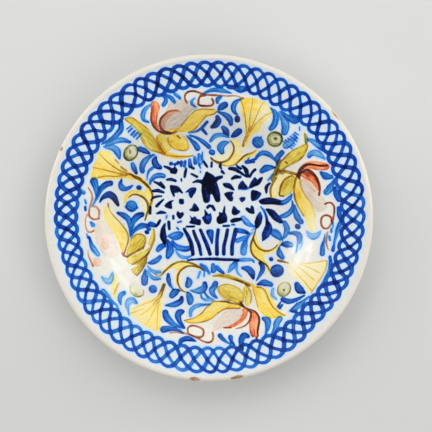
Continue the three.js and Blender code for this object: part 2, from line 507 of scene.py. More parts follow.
yellow_washes = {
    "top bloom": [
        ([(166, 130), (175, 128.5), (181, 126), (186, 120), (190, 115), (195, 111), (200, 109.5),
          (206, 109), (214, 109.5), (217, 111.5), (214, 114), (207, 116), (203, 120), (199, 125),
          (194, 130), (188, 132), (182, 132), (178, 131.5), (170, 133)], 0.8,
         [(199, 117, 8, 0.1), (176, 131, 6, 0.3)]),
        ([(168, 136), (167.5, 141), (171, 147), (176, 150), (184, 150.5), (188, 149), (188.5, 144),
          (186, 139), (181, 135), (174, 134)], 0.85, [(172, 143, 5, 0.15)]),
    ],
    "scroll above the basket": [
        ([(231, 140), (234.5, 138.5), (240, 142), (243, 149), (241, 157), (247, 154), (253, 151.5),
          (257, 150), (253, 155), (246, 159), (240, 162), (234, 165.5), (228, 166), (221, 165),
          (215, 162), (212, 158.5), (217, 162), (224, 162), (229, 159), (233, 154), (234.5, 148),
          (232.5, 143)], 0.46, [(240, 150, 4, -0.16), (222, 163.5, 7, 0.2)]),
        ([(214, 158), (222, 151), (231, 149), (232, 154), (228, 159), (221, 161.5)], 0.22),
    ],
    "right fan of the top": [
        ([(241, 99), (248, 98), (255, 98.5), (262, 101), (268, 105), (271.5, 110), (272, 114),
          (268, 119), (262, 123.5), (261, 128), (257, 132), (251, 136), (247.5, 144), (245, 147),
          (243, 144), (245, 137), (245, 127), (242, 114), (240, 105)], 0.56,
         [(251, 131, 5, 0.35), (246, 101, 6, 0.2), (256, 101.5, 3, 0.08), (247, 110, 4, 0.12),
          (257, 111, 3.5, 0.08), (262, 126, 4, 0.2), (250, 105.5, 2.4, -0.22),
          (257, 106, 2.4, -0.22), (264, 107, 3, -0.2), (250, 114.5, 2.4, -0.22),
          (257, 115, 2.6, -0.26), (264, 114, 4, -0.3), (268, 110, 3, -0.2)]),
    ],
    "right bloom": [
        ([(297, 176), (299.5, 178), (300, 184), (302, 190), (307, 198), (312, 206), (315, 215),
          (315.5, 226), (312, 232), (308.5, 228), (306, 220), (302, 212), (297, 205), (294, 197),
          (293.5, 188), (295, 182)], 0.62, [(299, 195, 8, 0.3), (312, 224, 8, -0.35)]),
        ([(281, 175), (287, 172.5), (294, 172.5), (299, 174), (297, 177), (291, 176.5),
          (284, 180), (279, 188), (276.5, 197), (271.5, 198), (271, 188), (274, 180)], 0.4),
    ],
    "left fan": [
        ([(98, 152), (104, 150.5), (110, 151.5), (114, 157), (119, 163), (125, 169), (132, 173),
          (140, 177), (146, 182), (142, 184), (136, 180), (127, 178), (118, 178.5), (110, 179.5),
          (102, 179), (91, 178.5), (92, 172), (94, 164), (97, 158)], 0.62,
         [(108, 158, 5, 0.12), (100, 173, 7, 0.1), (125, 174, 6, 0.2), (116, 156, 6, -0.35),
          (104, 165, 4, -0.1), (96, 168, 4, -0.08)]),
    ],
    "scroll right of the left fan": [
        ([(141, 177), (147, 181.5), (151, 188), (153.5, 196), (152.5, 205), (150, 213), (146, 220),
          (145.5, 214), (148, 206), (147, 201), (143, 196), (137, 193.5), (130, 195.5),
          (126, 202), (123.5, 203), (125, 195), (131, 190.5), (139, 190), (145, 192), (145, 187),
          (141, 181)], 0.6, [(150, 190, 5, 0.12)]),
        ([(139, 198), (144, 202), (146.5, 208), (146, 216), (143.5, 213), (143, 206)], 0.3),
    ],
    "left bloom": [
        ([(105, 207), (108.5, 206), (113, 214), (120, 222), (127, 234), (128.5, 240), (126, 248),
          (124, 254), (121.5, 252), (118, 241), (112, 230), (106, 222), (103.5, 214)], 0.5,
         [(120, 232, 7, 0.3), (123, 246, 7, 0.35)]),
    ],
    "scroll below the basket": [
        ([(160, 274), (165, 268), (171, 264), (178, 261.5), (184, 261), (191, 263), (200, 268),
          (197, 268.5), (190, 267), (184, 269), (179.5, 275), (179, 282), (181, 288), (177, 285),
          (175.5, 278), (177, 271), (172, 268), (166, 271.5)], 0.75),
    ],
    "scroll right of the basket": [
        ([(255, 231), (257, 238), (259, 244), (264, 249), (271, 249), (276, 245), (281, 240),
          (280, 246), (276, 251), (268, 254), (263, 256), (267, 263), (271, 269), (269, 273),
          (265, 266), (258, 260.5), (252, 254), (250.5, 247), (252.5, 238)], 0.6,
         [(257, 252, 6, 0.15)]),
    ],
    "right fan": [
        ([(290, 262), (300, 264), (313, 262), (327, 261), (326, 268), (322, 277), (316, 287),
          (311, 293), (307, 290), (301, 284), (294, 277), (288, 270)], 0.28,
         [(323, 268, 6, 0.12), (312, 284, 6, 0.1), (290, 264, 8, -0.1)]),
    ],
    "lower fan": [
        ([(162, 288), (164.5, 289), (162.5, 297), (161.5, 308), (161, 320), (160, 330), (156, 331),
          (150, 328.5), (144, 325), (139, 322), (136, 317), (130, 314.5), (130.5, 309),
          (141, 303), (150, 299), (157, 295)], 0.43, [(150, 309, 10, 0.1), (157, 325, 6, 0.1)]),
    ],
    "leg left of the lower fan": [
        ([(112.5, 275), (117, 275), (118, 284), (117, 292), (116, 299), (113.5, 297),
          (112, 288)], 0.4),
    ],
    "lower bloom": [
        ([(210, 304), (205, 309), (200, 314), (194, 318), (185, 321), (190, 322.5), (198, 322.5),
          (206, 321), (213, 318), (219, 313), (224, 310), (231, 308.5), (240, 308.5), (241, 305),
          (233, 303), (226, 301.5), (218, 301.5)], 0.64,
         [(206, 316, 8, 0.08), (228, 305, 8, 0.25), (187, 321, 5, 0.2)]),
        ([(252, 286), (258, 286), (264, 289), (267, 296), (271, 303), (276, 309), (282, 313),
          (286, 315), (281, 317), (274, 318.5), (268, 318), (261, 313), (257, 307), (255, 298),
          (253, 291)], 0.72, [(262, 302, 6, -0.14), (257, 289, 5, 0.3), (278, 315, 6, 0.2)]),
        ([(263, 286.5), (267, 289), (271, 295), (275, 302), (279, 309), (284, 313.5), (276, 309),
          (271, 303), (267, 296), (265, 290)], 0.5),
    ],
}

olive_washes = {
    "top bloom, long leaf": [
        ([(124.5, 119), (133, 118), (139.5, 122.5), (146.5, 127), (152.5, 134), (157, 142),
          (163.5, 152), (156, 152.5), (151, 151), (146, 147.5), (142, 140), (139, 133),
          (134, 127)], 0.75, [(155, 147, 6, 0.2), (146, 133, 7, 0.1)]),
        ([(159, 134), (166, 135), (167.5, 141), (172, 148), (163, 153), (158, 144), (156, 138)],
         0.6, [(163, 140, 5, 0.15)]),
    ],
    "right bloom, upper leaf": [
        ([(308, 144), (308, 148), (305, 155), (299, 161), (291, 164.5), (285, 168.5), (280, 173),
          (276, 179), (275, 176), (278, 167), (283, 160), (288, 153.5), (295, 149), (302, 146)],
         0.8, [(290, 158, 7, 0.12), (279, 172, 5, 0.3)]),
    ],
    "right bloom, bulb": [
        ([(285, 178), (290, 175.5), (295, 176.5), (295, 182), (293.5, 188), (290, 194),
          (284, 196), (279.5, 195.5), (280, 189), (282, 183)], 0.75, [(291, 182, 6, 0.25)]),
    ],
    "left bloom, bulb": [
        ([(128.5, 246), (131, 239), (135, 235), (141, 234.2), (145.5, 237), (145.5, 243),
          (143, 249), (137, 252.5), (129.5, 256), (126.5, 254)], 0.8, [(137, 243, 7, 0.1)]),
        ([(127, 257), (133, 255.5), (140, 252.5), (148, 248), (154, 241), (155, 236), (155, 231),
          (152, 228), (151, 235), (148, 243), (150, 248), (146.5, 256), (143, 262), (136, 265),
          (128, 263)], 0.62, [(134, 260, 6, 0.2)]),
        ([(131, 270), (137, 266), (143, 262), (147, 256), (146, 263), (142, 270), (137, 276)],
         0.97),
    ],
    "lower bloom, bulb": [
        ([(217.5, 287), (222, 284.5), (228, 284), (235, 286), (240, 289), (243, 294), (243.5, 299),
          (242, 303), (235, 302.5), (228, 300), (222, 296), (218, 291)], 0.72,
         [(228, 293, 8, 0.08)]),
        ([(246, 285), (250, 290), (251.5, 296), (251, 302), (248.5, 306), (245, 305), (244.5, 298),
          (243, 290)], 0.6, [(248, 292, 4, 0.2)]),
    ],
    "leaf above the lower bloom": [
        ([(211, 276), (218, 274), (226, 274.5), (234, 276.5), (242, 280), (249, 283.5),
          (256, 286), (262, 288), (256, 288), (248, 286), (240, 283), (230, 280), (220, 278)],
         0.6, [(222, 276, 7, 0.06)]),
    ],
}


def round_of(fruit, start, points=8):
    """The oval outline of a fruit, clockwise from a bearing that is counted from its tip."""
    x, y, half_length, half_width, lean = fruit
    tilt = math.radians(lean)
    outline = []
    for step in range(points):
        bearing = math.radians(start + 45 * step)
        up = half_length * math.cos(bearing)
        aside = half_width * math.sin(bearing)
        outline.append((
            x + up * math.cos(tilt) - aside * math.sin(tilt),
            y + up * math.sin(tilt) + aside * math.cos(tilt),
        ))
    return outline


# Fruits: the middle, half the length, half the width, and the way that the tip points, in
# degrees clockwise from the right
left_fruit = (130.9, 152.62, 8.18, 6.35, -60)
right_fruit = (274.9, 139.2, 7.2, 7.2, -45)
lower_fruit = (284, 289.32, 7.6, 6.12, -60)

green_washes = {
    "fruit on the left": [(round_of(left_fruit, 0), 0.17, [(126, 157, 4, 0.25)])],
    "fruit on the right": [(round_of(right_fruit, 225), 0.26, [(272, 134, 4, 0.2)])],
    "fruit below on the right": [(round_of(lower_fruit, 0), 0.2, [(281, 294, 4, 0.3)])],
    "fruit below on the left": [
        ([(129.5, 286), (132, 282.8), (136.5, 282.6), (141, 285.5), (143.6, 290), (143, 294.5),
          (139, 296.6), (134.5, 295.8), (130.5, 292)], 0.14, [(138, 295, 4, 0.2)]),
    ],
    "leaf tip of the right bloom": [
        ([(304, 133), (306.5, 134), (308.3, 139), (307.7, 143.5), (305.5, 145), (304.3, 140)],
         0.66, [(306, 140, 3, 0.3)]),
    ],
}

orange_washes = {
    "top bloom": [
        ([(150.8, 103), (154, 101), (158, 102.5), (160, 107), (158.5, 112.5), (157.5, 118),
          (157.5, 124), (160, 130), (156, 128.5), (152.8, 123.5), (151.3, 117.5), (151, 111)],
         0.84, [(154, 110, 4, 0.12), (156, 122, 4, 0.25), (157, 103, 3, -0.1)]),
    ],
    "right bloom": [
        ([(302, 166), (305, 162.5), (311, 161), (319, 161.5), (327, 163.5), (329.5, 165.5),
          (329, 168.5), (325.5, 170.2), (318, 170.5), (311, 169), (306, 169)], 0.75,
         [(305, 165, 5, -0.15), (317, 168, 5, 0.08), (327, 167, 3, 0.35)]),
        ([(299.5, 174), (305, 171.5), (311, 173), (316, 179), (319.5, 187), (318.5, 191),
          (314, 186), (310, 181.5), (304, 178.5)], 0.92, [(307, 174.5, 5, 0.5)]),
    ],
    "lower bloom": [
        ([(242, 309), (246.5, 309), (248, 313), (246, 318), (241.5, 323), (235, 326.5),
          (228, 328.5), (223.5, 327.8), (229, 326), (235, 322.5), (240, 318), (242.5, 313)],
         0.7, [(244, 313, 5, 0.15), (233, 325, 6, 0.2)]),
        ([(250.5, 312.5), (255, 312), (258.5, 317), (258.5, 325), (258, 332), (258, 338),
          (254, 336.5), (250, 334), (249, 325), (249.8, 318)], 0.8,
         [(253, 317, 4, 0.3), (254, 325, 4, -0.12), (254, 334, 4, 0.3)]),
    ],
}

for pigment, washes in (
    (lilac, lilac_washes), (rose, rose_washes), (yellow, yellow_washes),
    (olive, olive_washes), (green, green_washes), (orange, orange_washes),
):
    for patches in washes.values():
        for patch in patches:
            pigment.fill(*patch)

# Soft strokes of thin colour: the points, the widths along them, and the load along them
rose_strokes = {
    "cup of the top bloom": [
        ([(178, 111), (171, 112.5), (166, 117), (163, 123), (163.5, 128)], (3, 6, 6, 4),
         (0.5, 0.8, 0.7)),
    ],
    "cup of the right bloom": [
        ([(303, 180), (309, 185), (315, 191)], (3, 4, 3), 0.3),
    ],
}

yellow_strokes = {
    "outer leaf of the top bloom": [
        ([(157, 143), (162, 151), (170, 155), (180, 157), (192, 155.5)], (3, 5.5, 5, 4, 1.5),
         (0.95, 0.8)),
    ],
    "streak beside the scroll": [
        ([(242, 160), (248, 157), (253, 154), (258, 151)], (2, 3, 3, 1.5), 0.5),
    ],
    "strip of the left fan": [
        ([(125, 176), (132, 178), (139, 179.5), (146, 184)], (3, 4, 3), (0.6, 0.5)),
    ],
}

green_strokes = {
    "fruit on the left": [
        (round_of(left_fruit, -45, 9), (1.3, 1.5, 1.3, 1.8, 2.2, 1.6, 1.3),
         (1.2, 1.4, 1.2, 1.5, 1.4, 1.2)),
        ([(129, 147.5), (126.8, 151), (126.3, 155.5), (129, 158.3), (133, 157)], (2, 2.6, 2),
         (0.5, 0.7, 0.4)),
        ([(135.3, 147.5), (136, 151)], 1.6, 0.4),
        ([(129.8, 150.2), (130.1, 152.8)], 2, 1.3),
    ],
    "fruit on the right": [
        (round_of(right_fruit, -45, 9), (2, 2.2, 1.8, 1.7, 1.8, 1.6, 2),
         (1.5, 1.6, 1.3, 1.2, 1.3, 1.4)),
        ([(279, 135), (274.5, 134.2), (270.6, 136.8), (270.5, 141.5), (273.5, 144.3),
          (277.5, 143.6)], (2.6, 2.6, 2.2, 2.6, 1.8), (0.7, 0.75, 0.5, 0.7)),
        ([(275.2, 138.3), (275.6, 138.6)], 3, 1.6),
    ],
    "fruit below on the right": [
        (round_of(lower_fruit, -45, 9), (1, 1.3, 1.6, 1.2, 1.4, 1.4, 1),
         (0.55, 0.8, 1.0, 0.7, 0.9, 0.8, 0.5)),
        ([(279.5, 289), (279.7, 293), (282.5, 294.7), (286, 293)], (1.8, 2.8, 1.8),
         (0.35, 0.5, 0.3)),
        ([(283.8, 289.8), (284.1, 290)], 2.3, 1.3),
    ],
    "fruit below on the left": [
        ([(129.5, 286), (130.5, 292), (134.5, 295.8), (139, 296.6), (143, 294.5), (143.6, 290)],
         (1, 1.4, 1.8, 1.2), (0.4, 0.6, 0.9, 0.6)),
        ([(132, 291.5), (136, 293.8), (140, 293.3)], (1.2, 2.4, 1.4), 0.36),
    ],
}

for pigment, motifs in ((rose, rose_strokes), (yellow, yellow_strokes), (green, green_strokes)):
    for strokes in motifs.values():
        for stroke in strokes:
            pigment.brush(*stroke)

# Ochre and olive outlines, drawn with the tip of the brush
ochre_lines = {
    "long leaf of the top bloom": [
        ([(125, 118.5), (129, 117.3), (133, 118), (139.5, 122.5), (146, 127)], 1.2, (0.5, 0.7, 0.5)),
        ([(125, 119.5), (134, 127), (139, 133.5), (142, 141), (146.5, 148)], 1.1, (0.8, 0.4)),
        ([(156, 137), (157, 141), (160, 146), (163, 151), (165, 153)], 1.4, (0.6, 0.85)),
        ([(153, 150), (160, 153), (168, 155), (178, 156.5), (187, 156.5), (193, 155.5)],
         (1.5, 2, 2.2, 1.3), (0.6, 0.75, 0.6, 0.9)),
        ([(159, 134.5), (158.5, 139), (162, 146), (166, 150.5)], 1.1, 0.4),
    ],
    "petal of the top bloom": [
        ([(181, 126), (186, 120), (190, 115), (195, 111), (200, 109.5), (206, 109), (214, 109.5)],
         1.2, (0.7, 0.8)),
        ([(217, 111.5), (214, 114), (207, 116), (203, 120), (199, 125), (194, 130), (188, 132.3)],
         1.2, (1.0, 0.8, 0.9)),
        ([(168, 137), (168, 141), (172, 147), (178, 150), (186, 150.5), (188.5, 147), (187, 140),
          (183, 136)], 1.1, (0.6, 0.8, 0.5)),
        ([(177.5, 136), (180, 138)], 2, 1.0),
    ],
    "top fan": [
        ([(243.5, 145), (246, 135), (246, 125), (245, 115), (243, 106), (240.5, 99.5)], 1, 0.75),
        ([(246, 141), (249, 128), (250, 117), (252, 106), (252.5, 98)], 0.9, (0.9, 0.6)),
        ([(247, 138), (253, 124), (257, 115), (261, 106), (264.5, 102)], 0.9, (0.9, 0.55)),
        ([(250, 132), (256, 124), (262, 118), (267, 114.5), (272, 112.5)], 0.9, (0.9, 0.5)),
        ([(243, 146), (244, 141), (245.5, 136)], (2.4, 1.6, 1), (1.1, 0.7)),
        ([(240, 99), (243, 98)], 2, 0.9),
    ],
    "scroll above the basket": [
        ([(230.5, 141), (233, 144.5), (234, 149), (232.5, 154), (229, 159), (224, 161.8),
          (219, 162.3), (214, 160.5), (211, 158)], (1.4, 2, 2, 2), (1.0, 1.2, 1.3)),
        ([(212, 160), (218, 163.5), (224, 165.5), (230, 166), (235, 164.5), (239, 161),
          (243, 157), (247, 154.5), (252, 153), (256, 150.5)], (1.2, 1.2, 2, 1.4),
         (0.8, 0.7, 1.2, 0.8)),
    ],
    "upper leaf of the right bloom": [
        ([(306, 144), (299, 147), (292, 151), (286, 156), (281, 162), (278, 168.5), (276, 175)],
         (1, 1.3, 1.6), (0.6, 0.9, 1.1)),
        ([(307, 149), (303, 157), (295, 163), (288, 166.5), (283, 170)], 1.2, (0.4, 0.6)),
        ([(279, 170), (282, 173), (286, 171)], (3, 3.5, 2), (1.0, 0.8)),
        ([(285.5, 162), (287, 163)], 2, 1.0),
    ],
    "bulb of the right bloom": [
        ([(292, 175.5), (286, 178.5), (282, 183.5), (280, 190), (279.5, 195.5), (284, 196.2)],
         (1.6, 2, 1.6), (0.7, 1.0, 1.1)),
        ([(284, 171), (290, 172.5), (297, 174), (300, 173)], (3, 3, 2.2), (0.9, 1.0)),
        ([(276, 178), (272.5, 184), (270.5, 190), (271, 197)], (2.2, 2.4, 2), (1.0, 1.0)),
        ([(280, 160), (277, 166), (275, 172), (272, 180)], (2, 3.4, 3), (0.9, 1.0)),
    ],
    "long petal of the right bloom": [
        ([(297, 175.5), (295, 183), (294, 190), (294.5, 197), (297, 204), (300, 210), (304, 216)],
         (2.2, 2, 1.4), (1.0, 0.75)),
        ([(299.8, 178), (301, 187), (305, 195), (310, 202), (313.5, 209), (315.3, 217)],
         (1.8, 1.4, 1), (0.6, 0.5, 0.3)),
    ],
    "left fan": [
        ([(99.5, 154), (105, 159.5), (110, 164), (118, 169.5), (127, 173.5)], 1.2, (0.5, 0.8, 1.0)),
        ([(93, 167.5), (99, 168.5), (105, 170), (111, 171.5), (117, 173), (124, 174.5)], 1.2,
         (0.6, 0.9)),
        ([(98, 177.5), (103, 176.5), (109, 176), (116, 176.5), (127, 175)], 1.4, (0.7, 0.9)),
        ([(115.5, 160), (118.5, 163)], 1.8, 0.6),
        ([(121, 167), (126.5, 170.5)], 1.8, 0.8),
        ([(126, 173.5), (131, 174.5), (135, 177), (139, 178.5), (142, 181), (145, 183.5),
          (148, 187)], (1.6, 2.4, 3.4, 2.2, 2), (0.9, 1.2, 1.5, 1.4)),
    ],
    "scroll right of the left fan": [
        ([(144, 182), (148, 186), (151, 190.5), (152.5, 195), (152, 200), (150.5, 206)],
         (2, 2, 2.4), (1.3, 1.2)),
        ([(128.5, 197.5), (132, 195), (136, 194.5), (141, 196), (145, 199), (147.5, 203),
          (148.5, 209), (147, 214), (145, 220)], (1, 2, 2.2, 2.2, 1.6), (1.0, 1.3, 1.4, 1.2)),
    ],
    "petal of the left bloom": [
        ([(108.5, 206), (110, 211), (114, 216), (118, 220.5), (123, 226), (127, 232), (128.5, 239),
          (126.5, 247), (124, 254)], (1, 1.3, 1.6, 1.8), (0.6, 0.9, 1.1)),
    ],
    "bulb of the left bloom": [
        ([(131, 239), (135, 235), (141, 234), (145.5, 237), (145.5, 243), (143, 249)], 1.2,
         (0.7, 0.8)),
        ([(127, 256.5), (132, 253.7), (137, 250.7), (142, 247.5)], (2.2, 2, 1.2), (1.0, 0.8)),
        ([(132, 264.5), (139, 261), (144, 257.3), (149, 253)], (1.6, 2.2, 1.6), (0.75, 0.85, 1.1)),
        ([(147, 256), (146, 263), (142, 270), (137, 276)], 1.2, 0.8),
        ([(154, 229), (154.5, 237), (153, 243), (150.5, 249), (147, 255)], (1.4, 2.4, 2),
         (0.7, 0.9)),
    ],
    "scroll below the basket": [
        ([(161, 275), (166, 270), (171, 265.5), (177, 262.5), (183, 261.5), (189, 262.5),
          (195, 264.5), (200, 267.5), (203, 270)], (1.6, 2, 1.8, 2), (1.0, 1.1, 1.0, 1.3)),
        ([(199, 267.5), (193, 266), (187, 266.5), (182, 269.5), (178.5, 274), (177.5, 280),
          (179, 286), (183, 291)], (1.4, 2, 1.8, 1.4), (1.0, 1.2, 1.0)),
        ([(155, 274), (160, 276), (165, 271)], (1.5, 2.5, 1.5), 0.6),
    ],
    "scroll right of the basket": [
        ([(256.5, 226), (255, 232), (253, 238), (251, 244), (251, 250), (253, 255), (257, 259),
          (262, 262), (267, 265.5), (269.5, 270)], (1.4, 1.8, 2, 1.8), (1.5, 1.3, 1.2, 1.0)),
        ([(253.5, 238), (255.5, 244), (259, 248.3), (264, 250.7), (269, 250.7), (274, 248.5),
          (277.5, 245)], (1.4, 2, 1.4), (1.1, 1.2, 0.9)),
        ([(278, 260.5), (283, 261.5), (288, 263)], (2.5, 2.6, 1.6), (1.3, 0.7)),
    ],
    "right fan": [
        ([(298, 266), (306, 273), (314, 280)], 1, (0.3, 0.5)),
        ([(300, 264), (310, 268), (320, 273)], 1, (0.3, 0.5)),
        ([(302, 263.5), (314, 262.5), (326, 260.5)], 1, (0.3, 0.6)),
        ([(294, 270), (303, 280), (311, 290)], 1, (0.3, 0.6)),
        ([(327, 261), (326, 268), (321, 278), (311, 293)], 1.2, (0.6, 0.5)),
    ],
    "lower fan": [
        ([(163.5, 284), (161, 290), (158.5, 295)], (1.6, 1.8, 1.2), (1.4, 1.1)),
        ([(165, 284.5), (163, 290.5), (161, 297)], (1.6, 1.8, 1.2), (1.4, 1.1)),
        ([(158.5, 295), (152, 301), (144, 304), (133, 309)], 0.9, (0.65, 0.35)),
        ([(158.5, 295), (155, 302), (149, 309), (141, 315)], 0.9, (0.65, 0.35)),
        ([(159.5, 296), (156, 305), (152, 315), (147, 324)], 0.9, (0.65, 0.3)),
        ([(160, 297), (158, 307), (157.5, 317), (157, 329)], 0.9, (0.7, 0.4)),
        ([(131, 313), (137, 311), (143, 309)], 1.2, (0.45, 0.3)),
    ],
    "leg left of the lower fan": [
        ([(119, 283), (116.5, 288), (114, 294)], (1.2, 2.4, 1.4), 0.45),
    ],
    "petals of the lower bloom": [
        ([(212, 302.5), (206, 308), (202, 313), (196, 317), (191, 319), (184, 320.5)], 1.2, 0.8),
        ([(184, 321), (190, 322.7), (198, 322.7), (206, 321), (212, 318), (218, 313), (224, 309.5),
          (230, 308.5), (240, 308.5)], 1.2, (0.7, 0.9)),
        ([(213, 301.5), (218, 301.5), (225, 301.5), (231, 303), (238, 304), (243, 306.5)],
         (1.2, 1.8, 2), (0.9, 1.2)),
        ([(242, 291), (243.7, 296), (243, 302)], 1.2, 0.6),
        ([(217.5, 287), (218.5, 292), (223, 298), (230, 301)], 1, (0.8, 0.5, 0.4)),
        ([(219, 286), (226, 284), (235, 286), (241, 290)], 1, (0.7, 0.35)),
        ([(246, 285), (250, 290), (251.5, 297), (250.5, 303)], (1.6, 1.4, 1.2), (0.8, 0.6)),
        ([(257, 287), (262, 288), (265.5, 292), (268, 298), (271, 304), (275, 309), (280, 313),
          (285, 315.5)], (1.4, 1.8, 1.4), (0.8, 0.65)),
        ([(252.5, 287), (254, 293), (256, 300), (258, 307)], 1, 0.6),
        ([(240, 301.5), (241, 302)], 2.2, 0.7),
    ],
    "leaf above the lower bloom": [
        ([(213, 276), (222, 276), (230, 278), (238, 280.5), (244, 283), (250, 285.5)],
         (1.6, 1.8, 2.2, 1.6), (1.1, 0.6, 1.5, 0.9)),
        ([(216, 274), (226, 274.2), (236, 277), (246, 281.5), (254, 285)], 0.9, 0.45),
    ],
    "line left of the lower bloom": [
        ([(176, 290), (182, 291), (188, 292.5)], (1.1, 1.6), (0.6, 0.9)),
    ],
}

# Red-brown outlines and shadow strokes of manganese and iron
brown_lines = {
    "orange petal of the top bloom": [
        ([(153, 106), (151.5, 112), (151, 119), (153, 125.5), (157, 130), (162, 132.7), (168, 134)],
         (1.2, 1.8, 2, 2), (0.7, 1.1, 1.4, 1.4)),
        ([(177, 110.5), (169, 111.5), (164, 115), (160.7, 119), (159.7, 124), (161, 128),
          (165, 131.5), (170, 133.3)], (1.4, 2, 2.2, 3), (0.6, 0.9, 1.3, 1.7)),
        ([(176, 110), (181, 112.3)], (1.6, 1), (0.6, 0.4)),
        ([(166, 132.5), (172, 133.2), (178, 131.5)], (2.6, 2, 1.2), (1.7, 0.6)),
    ],
    "handle over the top bloom": [
        ([(187, 103), (185, 99), (185, 95), (188, 92), (193, 91), (199, 92.5), (205, 94.5),
          (212, 95), (220, 95.5), (228, 96)], (1.6, 2, 2, 2, 1.2), (1.2, 1.3, 1.0, 0.9, 0.7)),
        ([(228, 96), (236, 96), (244, 98.5)], 1.3, (0.7, 0.5)),
        ([(212, 99), (213.5, 102.5), (211.5, 105.5), (205, 106), (199.5, 105), (198.3, 101.5),
          (200, 96.5), (205, 95.5)], (2, 2.2, 2), (1.2, 1.3, 1.1)),
    ],
    "right bloom": [
        ([(297.5, 176), (300, 170), (304, 166), (309, 164.3), (315, 165), (321, 165.8),
          (327, 165.5)], (2.4, 3.6, 2.4, 1.8, 2.4), (1.5, 1.6, 1.5, 1.5)),
        ([(300, 173.5), (306, 170), (311, 171.7), (316, 177), (319, 184), (319.8, 190),
          (319, 195)], (2, 2.8, 2.6, 2), (1.5, 1.6, 1.3, 1.4)),
        ([(299, 178), (300, 173)], 2.4, 1.6),
    ],
    "ring right of the right bloom": [
        ([(325, 204), (328, 202.7), (331.5, 203), (334, 206.5), (334.3, 212), (333.3, 218),
          (332.5, 223)], (1.6, 2, 1.8), (1.3, 1.1, 0.8)),
        ([(331.5, 222), (331, 217.5), (327.5, 215.3), (323.5, 216), (321.3, 219.5), (321.5, 225),
          (324, 228.2), (328, 228), (331, 224)], (1.8, 2.2, 2), (1.1, 0.9, 0.7)),
        ([(327.5, 232), (326.5, 239), (326.5, 244), (328.5, 250)], (2, 2.2, 1.2), (0.5, 0.8, 0.5)),
    ],
    "ring left of the left bloom": [
        ([(88.5, 188), (91, 192), (92.3, 197), (91.5, 202), (89.8, 207), (89, 212), (90, 217),
          (94, 219.3), (99, 218.7)], (1.6, 2.2, 1.8, 1.8), (0.6, 0.75, 0.8)),
        ([(91, 206.5), (96, 206.8), (98.8, 210), (99.3, 214), (98.8, 218.5)], (1.6, 2.4, 1.8),
         (0.5, 0.65)),
        ([(87, 214), (85.5, 220), (85.8, 227), (88, 231.5), (91, 232), (93.5, 230.7)],
         (1.2, 1.5, 1.8), (0.4, 0.5, 0.9)),
        ([(88, 250), (88.7, 256), (91, 261.5), (93, 266)], (0.9, 1.4, 2), (0.45, 0.9)),
        ([(108, 203.5), (108.5, 206.5)], 1.6, 0.8),
    ],
    "ring under the lower bloom": [
        ([(170, 333), (176, 332), (182, 333), (188, 334), (193, 336), (199, 339), (204, 341.5),
          (209, 342.5), (212.3, 340.5), (213.3, 336), (212.5, 332.5)],
         (1.6, 2.4, 1.8, 1.6, 2, 2.2), (0.55, 0.6, 0.8, 0.9, 0.85)),
        ([(188, 332), (187.7, 328.5), (191, 325.7), (197, 326.3), (202.5, 329), (203.7, 332.5),
          (202, 336.5), (196, 336.7), (190, 334.5)], (1.8, 2.2, 2), (0.8, 0.9)),
    ],
    "lower bloom": [
        ([(241, 303), (244, 307), (248, 309), (254, 311), (258, 315), (259.4, 320), (258.5, 326),
          (257.7, 332), (258, 336)], (2.6, 1.8, 1.8, 2, 1.6), (1.3, 1.0, 1.5, 1.6, 1.2)),
        ([(248, 310), (251, 313), (250.5, 317), (249.3, 321), (246, 325), (241, 327.5),
          (236, 328.7)], (2.2, 1.8, 1.3), (1.2, 1.0, 0.6)),
        ([(224, 327.7), (231, 327.8)], 1.6, 0.9),
        ([(252, 335.5), (253, 336.5)], 1.8, 1.0),
        ([(256, 338), (257, 339)], 1.6, 1.0),
    ],
    "shadow where the left bloom meets its stem": [
        ([(122, 253), (124, 255.5), (128, 257)], (2, 2.6, 1.4), (0.8, 1.0)),
    ],
}

for pigment, motifs in ((ochre, ochre_lines), (brown, brown_lines)):
    for strokes in motifs.values():
        for stroke in strokes:
            pigment.brush(*stroke)

